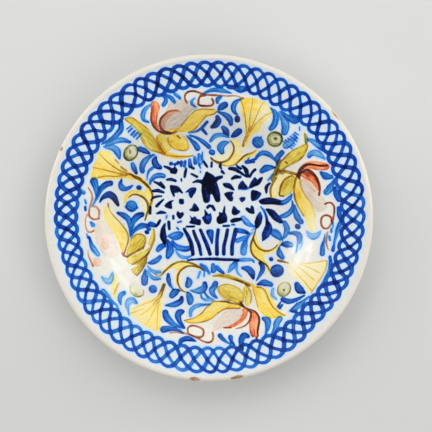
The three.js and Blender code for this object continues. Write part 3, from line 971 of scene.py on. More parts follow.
# Cobalt leaves, drops and crescents, each one press of a loaded brush
cobalt_strokes = {
    "left of the top bloom": [
        ([(121, 123), (120.5, 130), (113, 138), (102, 144)], (5, 6, 4, 1.5), (deep, mid, mid)),
        ([(106, 145), (113, 142), (122, 140), (130, 142)], (2, 5, 5.5, 3), (0.42, light, 0.85)),
        ([(104, 147), (112, 147.5), (117, 151), (119.5, 158)], (2, 6, 7.5, 3), (light, mid)),
        ([(150, 105), (145.5, 109), (142.8, 115), (144, 120), (148.5, 122)], (2.2, 4.4, 5, 4, 2.2),
         (0.45, 0.56, mid)),
        ([(127, 129), (131, 126)], 1.5, mid),
        ([(128.5, 132), (132.5, 128.5)], 1.6, mid),
        ([(131, 135), (135, 131)], 1.6, deep),
        ([(133.5, 137), (138, 132.5)], 1.7, mid),
        ([(136.5, 139), (141, 134)], 1.7, mid),
        ([(140, 149), (144, 150.5), (149, 153)], (5.5, 5.5, 2.5), (full, dark)),
        ([(154, 154.5), (148, 158), (143.5, 163), (142, 168), (142.5, 171)], (1.5, 4, 6, 6, 5),
         (mid, mid, full)),
        ([(156, 157), (154.5, 161), (156.5, 165.5), (160, 167.5)], (2, 6, 6.5, 4.5), (1.25, 1.2)),
        ([(152.5, 168), (149, 171), (147.5, 175), (147, 180)], (3.2, 2.6, 2, 1.5), (mid, 0.4)),
        ([(150, 184), (151, 180), (155, 176.5), (160, 175.3), (163.5, 176)], (2, 3.5, 4.8, 5.2, 4.5),
         (mid, mid, full)),
        ([(132.5, 164), (134, 168), (136.3, 173)], (4, 5.5, 3), (mid, full, dark)),
    ],
    "over the top bloom": [
        ([(161.5, 95), (165, 97.5), (166, 101), (163.5, 105)], (2, 3.5, 4.5, 4), (mid, mid)),
        ([(165.5, 94.5), (170, 97), (173, 100), (174.5, 102)], (2, 3.5, 4.5, 3.5), (mid, mid)),
        ([(174.5, 94), (178, 96.3), (180, 98)], (2.5, 3.8, 3), (light, 0.66)),
        ([(194.8, 98), (192, 101), (191.8, 104), (195.5, 107)], (1.6, 2.8, 2.6, 1.4), (0.5, mid)),
        ([(203, 93.5), (212, 90), (220, 90), (231, 93)], (1.5, 4.5, 5, 1.2), (mid, mid)),
        ([(221, 97), (217.5, 99.5), (217.5, 102.5)], (2.5, 4.5, 3), 0.78),
    ],
    "twigs right of the top bloom": [
        ([(207, 122), (204, 125.5), (200.5, 129), (196, 131.5), (189, 133)], (3, 3, 2.6, 2, 1.2),
         (deep, full, 0.6)),
        ([(203, 130), (206.5, 134)], (3.4, 2.4), deep),
        ([(187, 136), (191, 140), (195, 144), (197.5, 148)], (1.5, 3, 5, 6), (mid, full)),
        ([(190, 135), (198, 138.5), (204, 142.5), (209, 147)], (1.3, 3, 4.6, 4.4), (mid, full)),
        ([(218.8, 109.3), (222, 106.5), (225, 104.8)], (3, 7, 6.4), (full, 1.15)),
        ([(218, 112), (224.5, 114.5), (229.5, 118.5), (231, 124)], (1.5, 4.6, 6.4, 4), (full, deep)),
        ([(217.3, 117), (218.3, 120.5), (216, 124.5), (212, 127)], (4, 6.6, 6.6, 3.4), (1.25, 1.5)),
        ([(223, 127.5), (225.5, 130.5), (228.3, 135)], (4, 6.6, 2.4), (full, 1.3, deep)),
        ([(232.3, 136.3), (236, 133.7), (239, 131.3)], (3, 6.4, 6.4), (1.2, 1.3)),
        ([(237.3, 118.3), (237.3, 120)], 5.4, 1.5),
        ([(240, 99.5), (235, 103), (233.3, 108), (234.5, 112), (237, 114.5)], (2, 4.6, 5.6, 4.4, 2),
         (mid, full)),
        ([(229, 137.5), (222, 135), (215, 136), (210.5, 141)], (1.5, 4, 4.8, 3), (0.4, mid)),
        ([(228.5, 142), (223, 144), (220.5, 148), (222, 152)], (2, 6, 7.5, 5), (light, full)),
        ([(211.5, 152), (212.5, 152.5)], 5.5, full),
    ],
    "right of the top fan": [
        ([(271, 108), (275, 113), (276, 119), (274, 125), (271, 128.5)], (1.5, 5, 6.5, 6.5, 5),
         (mid, 0.82)),
        ([(279, 112), (283, 119), (285.5, 126), (284.5, 132)], (1.5, 5, 8.5, 7), (light, mid)),
        ([(281, 111.5), (288, 117.5), (295, 121.5), (298.5, 119)], (2, 5, 5.5, 4), (mid, full)),
        ([(257.7, 142), (258.2, 142.6)], 11.2, (0.92, 1.0)),
        ([(259, 140), (261.5, 136.5)], (3.4, 1.2), (full, 0.6)),
        ([(286, 145.5), (290, 142.8), (295.5, 137)], (7, 6, 3.5), (0.5, light, 0.5)),
        ([(283.5, 141.5), (287.5, 145), (292.5, 149)], 1.3, mid),
        ([(285.5, 139.8), (289.5, 143), (294, 146.5)], 1.3, (0.85, mid)),
        ([(288, 138.2), (291.5, 141), (295.5, 144.3)], 1.3, (0.85, mid)),
        ([(290.3, 136.3), (293.5, 138.8), (297, 141.5)], 1.3, 0.8),
        ([(292.7, 134.3), (295.3, 136.3), (298, 138.5)], 1.3, 0.8),
        ([(295, 132.3), (298.3, 135)], 1.3, 0.75),
        ([(299.5, 127), (299.7, 130)], 1.4, 0.55),
        ([(308.5, 139.5), (313, 141.3), (317.5, 145), (323, 150.5)], (3, 5.4, 5.4, 2.5),
         (0.55, light, full)),
        ([(309, 156), (311, 153.7), (315.5, 152.8), (320, 155), (325, 159)],
         (4.6, 6, 6.6, 5, 1.6), (mid, 0.45, light)),
        ([(277, 165), (277.5, 158), (282, 152.5)], (1.5, 5.5, 5), (dark, full, deep)),
        ([(321, 172.5), (325.5, 176), (331.5, 177)], (3, 7.4, 4), (full, 0.85)),
        ([(334.5, 179), (332, 184), (329.5, 189), (326.7, 192)], (1.3, 3.5, 7.4, 6.6), (0.85, mid)),
        ([(335, 188), (336.5, 194), (339, 199)], (3, 6.5, 6), full),
    ],
    "below the scroll above the basket": [
        ([(246.5, 162), (250, 161.5)], 4, full),
        ([(253, 160.5), (253.3, 161.3)], 4, full),
        ([(248, 159.5), (249, 158)], 1.5, 0.55),
        ([(255.5, 159), (258, 155.5), (262, 153), (267, 153.5), (271, 156), (275.5, 161)],
         (2.5, 3.8, 5, 5, 3.5, 1.3), (full, mid)),
        ([(275, 167.5), (270, 167.5), (265.5, 168.5), (262, 171)], (1.8, 5, 7, 5),
         (deep, 0.85, 1.05)),
        ([(273, 174.5), (268, 180)], (2.6, 1.5), (0.4, 0.6)),
    ],
    "by the left fan": [
        ([(94, 181.5), (96, 188), (97, 199)], (8, 5, 1), (deep, mid, light)),
        ([(110.5, 183.3), (106, 184.5), (101, 189), (97.5, 196), (93, 205.5)], (5.5, 6, 4.5, 3, 1.6),
         (dark, full, 0.45)),
        ([(100, 202), (101.5, 199), (105, 196), (109.5, 194.5), (113.5, 197), (116, 201),
          (118, 205)], (1.5, 3.5, 5.5, 7, 6.5, 5, 3), (1.4, 1.3, 1.6, 1.8)),
        ([(121.5, 179.5), (120.5, 184), (122.5, 188), (126.5, 188.7), (130, 187.3),
          (132.5, 185.5)], (1.5, 4, 6.5, 4.5, 3.5, 1.5), (dark, mid, full, deep)),
        ([(138.5, 187.5), (139.5, 187.7)], 4.6, 1.15),
        ([(131.3, 206), (131.7, 206.2)], 11.4, 0.92),
        ([(126, 207), (126.3, 207.2)], 2.6, 0.85),
        ([(136.8, 207.5), (137, 207.6)], 2.8, 0.9),
        ([(118, 213), (124, 215.5), (128.5, 219.5), (130, 226), (130.3, 236)], (3, 6, 5.5, 3, 1.2),
         (dark, full, mid, mid)),
        ([(142, 214.5), (138, 216), (134, 220), (132, 225), (130.8, 235)], (5, 7, 5.5, 3.5, 1.2),
         (dark, full, mid, mid)),
        ([(147, 225.5), (141, 226), (136, 229), (133, 233), (131, 237)], (4, 6, 4.5, 2.5, 1.2),
         (deep, full, mid)),
        ([(146.7, 232), (147.2, 232.2)], 4.2, 1.35),
        ([(91, 222.5), (93, 225)], (2.5, 4.5), (mid, 0.66)),
        ([(89.5, 237), (91.5, 245), (94.5, 250), (98, 254.5)], (1.8, 4, 6, 4.5), (full, mid, 0.45)),
        ([(87, 234), (87.6, 238)], 1.3, mid),
        # The pale crescent on the left wall is real paint, and its thin load partly paints the sheen
        # that the right softbox lays over it.
        ([(102, 277), (105, 280), (108, 281.5), (111, 279), (112.5, 273)], (2, 4.6, 6.5, 4.6, 2),
         (0.3, 0.36)),
        ([(80.5, 190), (83.5, 192.5)], (3.4, 4.4), (0.42, 0.6)),
        ([(85, 200), (86, 203.5)], 1.8, (0.5, mid)),
        ([(85.3, 207), (85.5, 210)], 2.4, deep),
    ],
    "between the left scroll and the basket": [
        ([(150.5, 224), (153.5, 225)], 5, deep),
        ([(148.5, 228.5), (149, 228.7)], 4.4, full),
        ([(165, 223.5), (163.3, 229), (163.2, 236), (164.8, 243.5)], (1.3, 5, 7, 2.6), navy),
        ([(172.5, 241), (176, 246), (181, 248.3), (186, 249), (190, 248)], (2, 4.5, 6, 6, 4.5),
         (0.8, 0.85, 1.0)),
        ([(175.3, 249.5), (178, 254), (182, 257), (187, 257.5), (192, 255.5)], (1, 2.6, 3.6, 3, 1.5),
         (0.4, light)),
        ([(167.5, 240), (169.5, 245), (170, 251), (168, 256.5)], (2, 6, 8, 5), (full, 1.0)),
        ([(163.5, 245.5), (160, 247.5), (158, 250)], (5, 6, 4.5), (full, mid)),
        ([(148, 263), (152, 262.5), (157, 260), (160, 257)], (1.5, 5, 5.5, 4), (mid, full)),
        ([(147.5, 266), (151, 270), (155, 272), (160, 272)], (1, 3, 4.2, 3), (0.42, 0.5)),
        ([(147, 270), (150, 275), (154, 278.3), (160, 278.8)], (1, 3.4, 4.4, 2.4), (0.36, 0.6)),
        ([(145, 269.5), (144.8, 275), (144.6, 281), (144.5, 282.5)], (1.3, 4, 7.2, 6.6), (0.8, 1.1)),
        ([(168.3, 274.5), (168.5, 279), (169.5, 284), (172.5, 289)], (3, 5, 3, 1.3), (deep, mid)),
    ],
    "around the lower fan": [
        ([(152.8, 289), (153.2, 289.2)], 8, 0.85),
        ([(124, 293), (121, 295), (119.7, 299), (121, 304.5)], (4.5, 5, 4.2, 1.5), (mid, light)),
        ([(136.5, 303), (133, 300.3), (129.5, 301), (127.3, 305), (128, 310), (129, 315)],
         (3, 6, 6.5, 4.5, 2, 1.2), (0.45, 0.32, 0.45)),
        ([(178.5, 290.5), (174.8, 292.3), (172, 295.5)], (3.4, 7.4, 6), (full, deep, full)),
        ([(171.3, 284), (173.5, 289)], 1.4, 0.26),
        ([(181.7, 297.5), (181.3, 300.5), (178, 303), (173, 304.8), (165.5, 305.5)],
         (3.4, 6, 6, 4.5, 1.5), (1.5, deep, mid, mid)),
        ([(190.5, 290.5), (196, 291), (201.5, 290), (204.7, 287), (204.7, 283.5)],
         (1.4, 4, 7.4, 6.6, 4.5), (light, mid, deep)),
        ([(201, 295), (202, 298), (206, 300), (212, 300.5)], (1.6, 2.4, 3, 1.8), (0.6, 0.42, 0.3)),
        ([(205, 293), (208, 297), (214, 300)], (2, 2.6, 1.6), (mid, 0.42)),
        ([(190.5, 316), (190.8, 311), (194, 307), (200, 305), (210, 304.3)], (3, 4.4, 4.4, 3, 1.6),
         (0.48, 0.45, 0.58)),
        ([(165.3, 312.5), (166.5, 317), (170.5, 321.5), (175.5, 325), (184, 328.5)],
         (6, 7.4, 5.4, 3, 1.2), (1.15, 0.85, 0.6, 0.85)),
        ([(163.5, 329.5), (168, 328.7), (174, 329), (179, 330.5), (183.5, 333)],
         (6.6, 6, 4, 2.6, 1.2), (1.0, 0.85, full)),
        ([(180, 343.5), (181, 340.7), (185, 338.9), (189, 338.7), (195.5, 341)],
         (3.6, 5, 5.4, 4.4, 1.4), (full, deep, 1.4)),
        ([(103, 291), (108, 296), (112, 301), (117, 306), (119, 312)], (5, 4, 2.4, 2, 3),
         (0.55, 0.48, 0.36)),
    ],
    "below the basket": [
        ([(201, 264.5), (205, 267.5), (208, 271)], (3, 4.6, 3), mid),
        ([(213, 265), (213.5, 270.5)], (4, 5.5), mid),
        ([(209, 273), (209.3, 273.2)], 3.2, 0.45),
        ([(198, 278), (200, 272)], (2, 2.6), 0.42),
        ([(204, 276), (204.5, 270)], 1.8, 0.55),
        ([(217, 267), (219.5, 270), (223.5, 273)], (4, 4, 2.4), (mid, deep)),
        ([(236, 261.5), (232, 267), (228.5, 272)], (2.5, 6, 2), (mid, light)),
        ([(237, 263.5), (236.5, 269), (238, 273), (241.5, 276.5)], (2.6, 2.8, 2.2, 1.3), (light, 0.36)),
        ([(242.5, 268), (248, 269), (251.5, 272.5), (253.3, 278)], (3, 6.5, 7, 3), (full, deep, dark)),
        ([(260, 263), (262.3, 266), (262.5, 270), (260, 275), (256.5, 280.5)], (3.4, 5, 4.4, 3, 1.2),
         (dark, full, mid)),
        ([(258, 284.3), (264, 282.7), (271, 284.5)], (2.4, 7, 4.6), (deep, full, full)),
        ([(276.5, 271), (277.5, 270.6)], 12.6, (1.3, 1.2)),
        ([(271, 259), (271.3, 259.2)], 4.2, deep),
        ([(212, 287.5), (215.5, 283.5)], (3, 5.5), (mid, full)),
        ([(215.5, 286), (212, 290), (213, 294), (217, 298)], (5, 6.5, 4.5, 1.6), mid),
        ([(273, 289), (272.5, 295), (276.5, 299)], (3, 3.8, 2), pale),
    ],
    "right of the basket": [
        ([(236, 230), (240, 230.7), (244, 231.5), (248, 232.7)], (4, 5, 4.6, 2.5), (mid, dark)),
        ([(252, 230.3), (256, 227.5)], 1.3, 0.36),
        ([(253, 232.5), (248, 236), (243, 238.5), (237.5, 240.5)], (1, 3, 4.6, 5), (0.45, 0.62)),
        ([(250, 234), (246.5, 240), (244, 247), (243.5, 252.5)], (1.3, 2.5, 6.5, 6.5),
         (0.5, 0.85, 0.55)),
        ([(243, 218), (246.5, 222), (250.5, 225), (255, 226.3)], (5, 6.4, 4.4, 1.4), (light, mid)),
        ([(260, 213), (259.3, 218), (258, 222.5), (257, 227)], (2.4, 6.4, 7, 3), (1.2, 1.7, navy)),
        ([(261, 207), (264, 211), (266.3, 216.5), (267.3, 223)], (1.6, 2.2, 2.6, 3), (0.6, 1.65)),
        ([(267, 209.5), (272, 213), (276, 217.5), (280.5, 221.3)], (2.4, 7, 7, 4.4), (navy, 1.5)),
        ([(267.3, 222), (268.5, 227), (266.5, 233), (262.7, 240.5)], (3.4, 8, 8, 1.5),
         (1.7, 1.35, 1.6)),
        ([(270.5, 231.7), (275, 233), (278.5, 236), (280, 239.5)], (3, 8.5, 7.5, 2.5), (full, mid)),
        ([(284.5, 222.7), (287, 228), (286, 234), (282.3, 239.5)], (4.5, 6, 5, 2), (mid, mid, light)),
        ([(297.4, 226.4), (298, 226.7)], 5.2, 1.3),
        ([(289, 233.5), (294, 233), (299, 235.5), (299, 242)], (2, 4.5, 6.5, 3.5), (mid, full, mid)),
        # These two strokes on the right wall are real pale washes, and their thin loads partly paint
        # the sheen that the left softbox lays over this wall.
        ([(298, 241), (297, 248), (296, 252)], (2.4, 2, 1.3), 0.36),
        ([(302, 236.5), (302, 243), (300, 249)], (1.6, 1.6, 1), 0.32),
        ([(282.5, 244.5), (287, 244.3), (291, 245)], (3, 7, 5), (deep, full, mid)),
        ([(283, 242), (279.7, 246.5), (279, 249)], 1.4, 0.55),
        ([(279, 248.5), (279.5, 253.5), (282.5, 257.5)], (2.6, 6.5, 4.4), (mid, full)),
        ([(292.3, 201), (292.7, 207), (290, 212), (286, 215), (281, 216.7)], (1.5, 3, 5, 5.4, 4),
         (mid, mid)),
        ([(276, 201), (281, 202.8), (286, 201.3), (290, 197.5), (292, 194)], (3.4, 5, 5, 4.6, 1.3),
         (dark, mid, mid)),
        ([(295, 205.5), (295.5, 212), (298, 218), (301.3, 222)], (1.5, 5, 6.6, 5), (mid, full)),
        ([(338.5, 208), (339.3, 214), (341, 221)], (3.5, 5, 3.4), (full, 1.15)),
        # The next five strokes on the right wall are real pale washes, and their thin loads partly
        # paint the sheen that the left softbox lays over this wall.
        ([(307, 231.5), (309.5, 235), (313, 236.5), (317, 235), (320.5, 231.5)],
         (2, 5, 7, 5, 2), (0.34, 0.42, 0.3)),
        ([(325, 234), (324, 240), (322.7, 246), (322.3, 253.5)], (1, 2.2, 4.6, 5.4), (0.4, 0.85, mid)),
        ([(333, 223), (332.7, 227)], 2, 0.4),
        ([(331.5, 229), (331.3, 232)], 2.3, 0.55),
        ([(329.3, 236.5), (330, 240)], 2.6, light),
        ([(340, 223.5), (337.7, 229), (336.2, 235), (334.3, 243), (333, 250)],
         (4.4, 4.4, 3.2, 2.4, 4), (0.75, 0.65, 0.5, full)),
        ([(330, 257), (330.6, 262.5), (329.6, 269), (326, 276.5), (321, 284.5)],
         (3.2, 4, 3, 2, 1.3), (full, 0.55, 0.42)),
        ([(297, 284.5), (299, 289), (304.5, 292.5)], (5.4, 8.4, 2.6), (1.15, 1.3)),
    ],
    "right of the lower bloom": [
        ([(283, 299.5), (288, 301.3), (294, 300.5), (299, 298.3), (304.5, 295.5)],
         (5, 5.4, 4.4, 3, 1.3), (deep, full, deep)),
        ([(309, 296.5), (304.5, 300.5), (299, 305), (293, 310)], (2, 3, 6, 5), (0.5, mid)),
        ([(304, 300), (298, 304), (292, 308.7), (289.5, 310.8)], 1.4, (0.42, 0.6)),
        ([(292, 311.3), (296.5, 311.8)], 2.6, deep),
        ([(280.5, 302.5), (278, 306.5)], (1.6, 2.4), deep),
        ([(282.5, 305), (280, 308.3)], (1.6, 2.4), full),
        ([(263.5, 318.5), (267.5, 320.5), (267.8, 326), (266.3, 332), (264.8, 336)],
         (4, 7, 5.5, 3, 1.6), (0.85, mid)),
        ([(280, 318.7), (277, 322.5), (275.5, 328.5), (272, 335)], (5.4, 6.6, 5, 3), 0.62),
        ([(220, 335.5), (222, 338), (226, 341.5), (231, 344.5)], (4.6, 4, 2.4, 1.5), (deep, mid, 0.45)),
        ([(230.5, 337.3), (231.5, 341), (234.5, 345)], (5, 3, 1.8), 0.88),
        ([(248, 336.5), (244.5, 335.5), (241.8, 338.5), (241.3, 344), (242.5, 349)],
         (4, 6.5, 6, 4.5, 3), deep),
    ],
}

# The basket of flowers in the middle, in cobalt laid on so thick that it is almost black
basket_strokes = {
    "ticks round the flowers": [
        ([(164.5, 166.5), (168.5, 168), (172, 170)], (2, 3, 3.4), 1.6),
        ([(167, 179.7), (171, 179.3), (175.5, 180.8)], (2, 3.2, 2.6), navy),
        ([(154, 181.7), (159, 184), (164, 187.5)], (1.6, 3, 3), 1.7),
        ([(160.7, 182.7), (163.5, 186.5)], (2.4, 2.6), 1.7),
        ([(153, 191), (158, 190.6), (163.5, 192.3)], (2.6, 3.6, 2), navy),
        ([(151, 200), (153.5, 197.7), (157, 196.5), (161.5, 196.1)], (1.4, 2.2, 2.2, 1.3), navy),
        ([(156.7, 206), (160, 202.7), (163.5, 199.5)], (3, 2.6, 1.4), navy),
        ([(157, 213.5), (161, 212.3), (165.3, 212.8)], (1.6, 3.6, 2), 1.6),
        ([(167, 215.8), (166.3, 218)], 1.6, 0.8),
        ([(173.3, 216), (173.3, 218.6)], 2.4, navy),
        ([(150.5, 207), (150, 213.3)], (2, 2.8), navy),
        ([(184.6, 177), (185.2, 173), (186.2, 169)], (2.2, 3, 2.2), navy),
        ([(191, 167), (193.6, 168.4)], 2.4, navy),
        ([(199, 164.7), (200.5, 168)], (2, 1.3), 0.9),
        ([(204, 161.5), (205.5, 164.3), (207.3, 167)], (1.8, 2.6, 2), navy),
        ([(211.7, 162.5), (211.5, 166.7)], 2.2, navy),
        ([(200.3, 171.7), (200.5, 172)], 1.5, 0.9),
        ([(191.5, 174), (197, 176.7)], (2, 2.4), navy),
        ([(181.3, 178.7), (181.6, 181)], 1.5, 1.6),
        ([(207.5, 207.4), (209.5, 205.6)], 2.8, navy),
        ([(212.3, 206.3), (214.5, 210)], (3.2, 2.6), navy),
        ([(221, 163.7), (220, 166), (221.3, 168.5)], (1.6, 2.8, 1.8), navy),
        ([(222, 171.5), (224, 173.5)], (3, 2), navy),
        ([(229.5, 168.5), (234, 169), (239, 171.7), (244, 175), (247, 177)],
         (3, 4, 3, 2.4, 1.8), navy),
        ([(236.5, 165.3), (240.5, 168.7)], (1.6, 2.4), navy),
        ([(242.7, 166), (246, 170), (247.7, 176)], (2, 4.6, 2.6), navy),
        ([(255, 169.7), (252, 172.7), (250, 177)], (2.8, 2.4, 2), navy),
        ([(232, 178.7), (236, 176.8), (240, 177.3)], (2.4, 4, 2.4), navy),
        ([(250, 187.5), (246, 189), (241, 189.2)], 1.8, 0.85),
        ([(269.5, 183.5), (266.5, 187), (266.3, 192.5)], (2.4, 3.6, 2), navy),
        ([(231.5, 221), (234.5, 219.5), (240.5, 219)], (2.6, 3, 2.6), navy),
        ([(223.5, 226), (229, 225.8)], 2, 1.6),
        ([(232, 224.7), (234.5, 224.8)], 1.6, 1.2),
        ([(156, 226.5), (158, 224), (160, 220.5)], (2, 3, 2.4), navy),
        ([(168.8, 222), (169.3, 229)], (3, 2.6), navy),
        ([(178, 222.3), (181, 221.4)], 1.7, 1.1),
        ([(177, 227.7), (178.5, 229.5)], 1.6, 1.1),
        ([(187, 226.6), (194, 226.5)], 2, navy),
    ],
    "stem heads": [
        ([(171.3, 186.5), (172.3, 191), (174, 196)], (3, 3.2, 1.8), navy),
        ([(171.5, 186.6), (177, 188), (182, 192.6)], (3, 4, 1.8), navy),
        ([(174.5, 190.5), (177, 190.5)], 4.6, 1.55),
        ([(193, 182.5), (197, 181.2), (201.5, 181.7), (205, 185)], (1.3, 3, 4, 4), 1.75),
        ([(214, 180.5), (218, 178), (221.5, 177)], (5, 4, 3), navy),
        ([(207, 173), (206, 182), (206, 192), (206.5, 199.5)], (3, 8, 9, 7), navy),
        ([(206.5, 173.5), (211, 178), (213, 185), (216, 193), (217.7, 199.5)],
         (3, 8, 9, 8, 5.5), navy),
        ([(209, 180), (211, 190)], 8, navy),
    ],
    "staves and base of the basket": [
        ([(184, 229), (188, 236), (191.3, 244), (193, 254)], (2.6, 4, 4, 3.6), 1.7),
        ([(193.5, 231), (196, 238), (199, 245), (201, 254.5)], (3, 3.4, 3.4, 3), (1.7, 1.45)),
        ([(200.5, 230), (203.5, 237), (207, 245), (210, 254)], (3, 3.6, 4, 3.6), (1.65, 1.4, 1.75)),
        ([(218.2, 230), (217, 240), (217, 254)], (3.4, 3.4, 4), (1.4, 1.6)),
        ([(227.5, 230), (226, 238), (224, 246), (223.8, 254)], (3.4, 3.4, 3.6, 3.6), 1.55),
        ([(236, 230), (234, 237), (232.3, 245), (232, 254)], (4.6, 4, 3.8, 3.8), (1.35, 1.5)),
        ([(187.5, 260.5), (194, 259.5), (204, 259), (214, 259), (222.5, 259.5), (233, 259.7),
          (238, 260.3)], (1.5, 3, 2.8), 1.6),
        ([(238, 260), (245, 259.7), (252, 260), (254, 262)], (3.4, 4, 3.4, 2), (0.6, 0.46, 0.6)),
    ],
    "garland": [
        ([(170.8, 163.5), (171.3, 163.6)], 3.6, deep),
        ([(174.8, 164.3), (175, 164.5)], 3.2, 1.1),
        ([(177.5, 163.3), (178.3, 162.5)], 3.2, dark),
        ([(181.6, 161.7), (181.2, 165.5)], 3, 1.0),
        ([(185.2, 161.5), (184.7, 166.3)], (2.8, 3), full),
        ([(189.7, 159.7), (190.3, 166)], (3, 4.4), (mid, deep)),
        ([(194.7, 157.3), (195.2, 163)], (3, 3.8), (mid, full)),
        ([(199, 154.5), (200.3, 162)], (3, 6), (mid, light)),
        ([(202.5, 152), (202.3, 158), (203.3, 161.5)], (1.4, 2, 2.4), mid),
    ],
}

basket_shapes = {
    "leaves and buds on the left": [
        ([(174.8, 166.8), (177.3, 169.5), (177, 172.5), (174.7, 174), (170, 172.7), (171.5, 169.5)],
         navy),
        ([(164.3, 206), (167, 202.7), (170.5, 200.7), (174, 200.2), (171.7, 203), (172, 208.5),
          (168.5, 208.3)], navy),
        ([(184.8, 192.6), (188.5, 189.3), (192, 187.5), (196, 188), (195.8, 191.5), (193.5, 195),
          (191, 198.3), (188.7, 195), (188.8, 192.2)], 1.75, [(189, 195, 3, -0.45)]),
        ([(179.2, 199.3), (183, 199), (184, 201), (183.5, 204), (179.5, 203.8)], navy),
        ([(194, 203.3), (197, 205.5), (199.2, 210), (196, 211.5), (191, 211), (189.2, 209.5),
          (191.8, 208)], navy),
        ([(178, 211), (180, 213), (182.5, 212), (184, 214), (183, 216), (180, 219), (177.8, 217),
          (176.4, 214)], navy),
        ([(204.5, 209.5), (206.7, 212), (209, 214.3), (210.4, 212.7), (211.7, 217), (211.3, 221),
          (209, 224.3), (205, 223.3), (203.2, 220), (202, 217.6), (204.6, 215.3)], 1.8,
         [(207.3, 217.5, 3, -0.75)]),
        ([(189.8, 215.5), (192.3, 217.7), (195, 216.3), (197.3, 219), (200.6, 220), (200.3, 225),
          (196, 224.7), (189.3, 223), (191, 219.5)], 1.75, [(195, 221, 3, -0.25)]),
    ],
    "leaves and buds on the right": [
        ([(255, 177), (257.2, 180), (259.3, 178), (263, 177), (261.6, 181), (259, 184.7),
          (255, 186.3), (250.8, 188.2), (249.2, 186.3), (251, 182)], navy),
        ([(242.5, 180.6), (244.7, 183.3), (247.3, 186.8), (244, 188.8), (240, 188.3),
          (238.3, 190.2), (238.3, 186), (239.8, 183)], navy, [(244, 188, 2, -0.3)]),
        ([(222.7, 183.5), (229, 183), (232.3, 186), (234.6, 190.2), (232, 190), (228.5, 188.3),
          (225, 187.3)], navy),
        ([(224.3, 193.7), (229, 191.8), (233.6, 192.2), (232.2, 195.2), (233.3, 198), (232, 201.3),
          (229, 200.5), (226, 197)], navy),
        ([(251.3, 191), (255, 190.3), (259, 191.7), (261.3, 194), (258, 199), (254.5, 200.7),
          (251.3, 200.3)], navy),
        ([(239.3, 198.5), (241, 197.2), (245.2, 197.3), (244.6, 200.3), (242, 202.2),
          (240.3, 200.7)], 1.6),
        ([(219.2, 211.7), (222, 213), (223.8, 207), (225.2, 205.7), (225.3, 212), (227, 216),
          (227.2, 219), (226.2, 222.3), (218, 223.3), (216.7, 218), (218.8, 215.5)], navy),
        ([(233.8, 205.8), (237, 209), (240.3, 211.5), (238, 214), (234.2, 215.3), (231.8, 213),
          (232.3, 209)], navy),
        ([(245.3, 208.5), (247.7, 207.3), (250, 209), (251, 205.7), (253.2, 206.3), (254.2, 210),
          (254.2, 213.7), (250, 213.3), (246.8, 211)], navy),
        ([(258.8, 200.8), (263, 198.5), (270, 197.4), (277, 199), (280.7, 200.5), (280.2, 205),
          (272, 204.3), (262, 204.3)], navy, [(279, 202, 4, -0.5)]),
        ([(217, 218.5), (226.5, 217.7), (226.3, 221), (223, 223.3), (218.3, 223.6)], navy),
        ([(206.3, 230.8), (213.2, 230.3), (213.2, 240), (212, 244.3), (209.8, 240)], 1.2),
        ([(230.7, 221), (233, 219), (241.2, 218.4), (240, 221), (232, 222.6)], navy),
    ],
    "leaves below the basket": [
        ([(167.7, 236), (172, 232.8), (178, 231.2), (182.3, 232.3), (183.3, 235), (181, 238.3),
          (176, 240.3), (171, 238.8)], 0.75, [(180, 233, 4, 0.4)]),
        ([(187, 276.7), (190, 278), (192.7, 281.5), (191.2, 286), (188, 288.3), (185, 286),
          (186, 281)], 0.8, [(188, 280, 3, 0.15)]),
        ([(187, 291.7), (190.3, 292.7), (193.3, 297), (193.7, 301), (191.5, 304.7), (188.3, 304.7),
          (186.7, 300), (186.2, 296)], 0.75, [(190, 296, 3, 0.2)]),
        ([(184.7, 311.3), (182, 309.2), (178, 309.7), (175.2, 313), (175.2, 318), (178.5, 323.5),
          (184.5, 328.7), (185.3, 327.3), (182.3, 322), (181, 316.3), (183.2, 313.7)], 1.12),
    ],
    "leaf on the lattice above": [
        ([(228, 84.5), (237, 85.5), (246, 86.5), (243.5, 91.5), (240.5, 93), (234, 90)], 0.85),
    ],
}

for motifs in (cobalt_strokes, basket_strokes):
    for strokes in motifs.values():
        for stroke in strokes:
            cobalt.brush(*stroke)
for shapes in basket_shapes.values():
    for shape in shapes:
        cobalt.fill(*shape)

# The lattice on the rim: four strands that swing out and in, each a quarter swing behind the
# last, so that two of them cross halfway out at every bearing below. The brush leans: each
# strand reaches its crest a little before its turn.
dish_centre = np.array((208.9, 217.7))
border_from, border_to = 122, 164  # pixels from that centre
# Bearings are in degrees, clockwise from the right, and the circles' radii in pixels. The
# crossings and the inner circle were read one by one. The outer circle was corrected from the
# gaps that were measured between the photograph and an earlier render, then rounded.
crossings = (
    1, 6.5, 12, 17, 22.5, 27, 33, 37.5, 43, 48.5, 53.5, 58.5, 64.5, 70, 75, 80.5, 86, 90.5, 96,
    101.5, 107, 112.5, 117.5, 123, 128.5, 134.5, 139.5, 144, 149.5, 155, 160, 165.5, 170.5,
    175.5, 180.5, 186, 190.5, 196, 201, 206.5, 211.5, 217.5, 222, 228, 232.5, 239.5, 244, 249,
    254.5, 259.5, 264.5, 269.5, 275, 279.5, 284.5, 289.5, 294.5, 299.5, 304.5, 309.5, 315,
    319.5, 325, 329.5, 334.5, 339.5, 345, 350.5, 355.5,
)
crest_lead = 1.3  # degrees by which a strand is ahead at its outer crest
inner_lead_share = 0.15  # of that at its inner one
outer_bearings = (
    0, 15, 30, 45, 60, 75, 90, 120, 135, 150, 165, 180, 195, 210, 225, 255, 270, 285, 300, 315,
    330, 345,
)
outer_circle = (
    155, 153.5, 152, 150.5, 155.5, 155, 154.5, 154, 154.5, 152.5, 151.5, 153.5, 154.5, 156,
    155.5, 155, 155.5, 156, 156.5, 157, 158, 156.5,
)
inner_bearings = (0, 25, 37, 45, 60, 90, 120, 150, 180, 200, 220, 240, 270, 300, 325, 345)
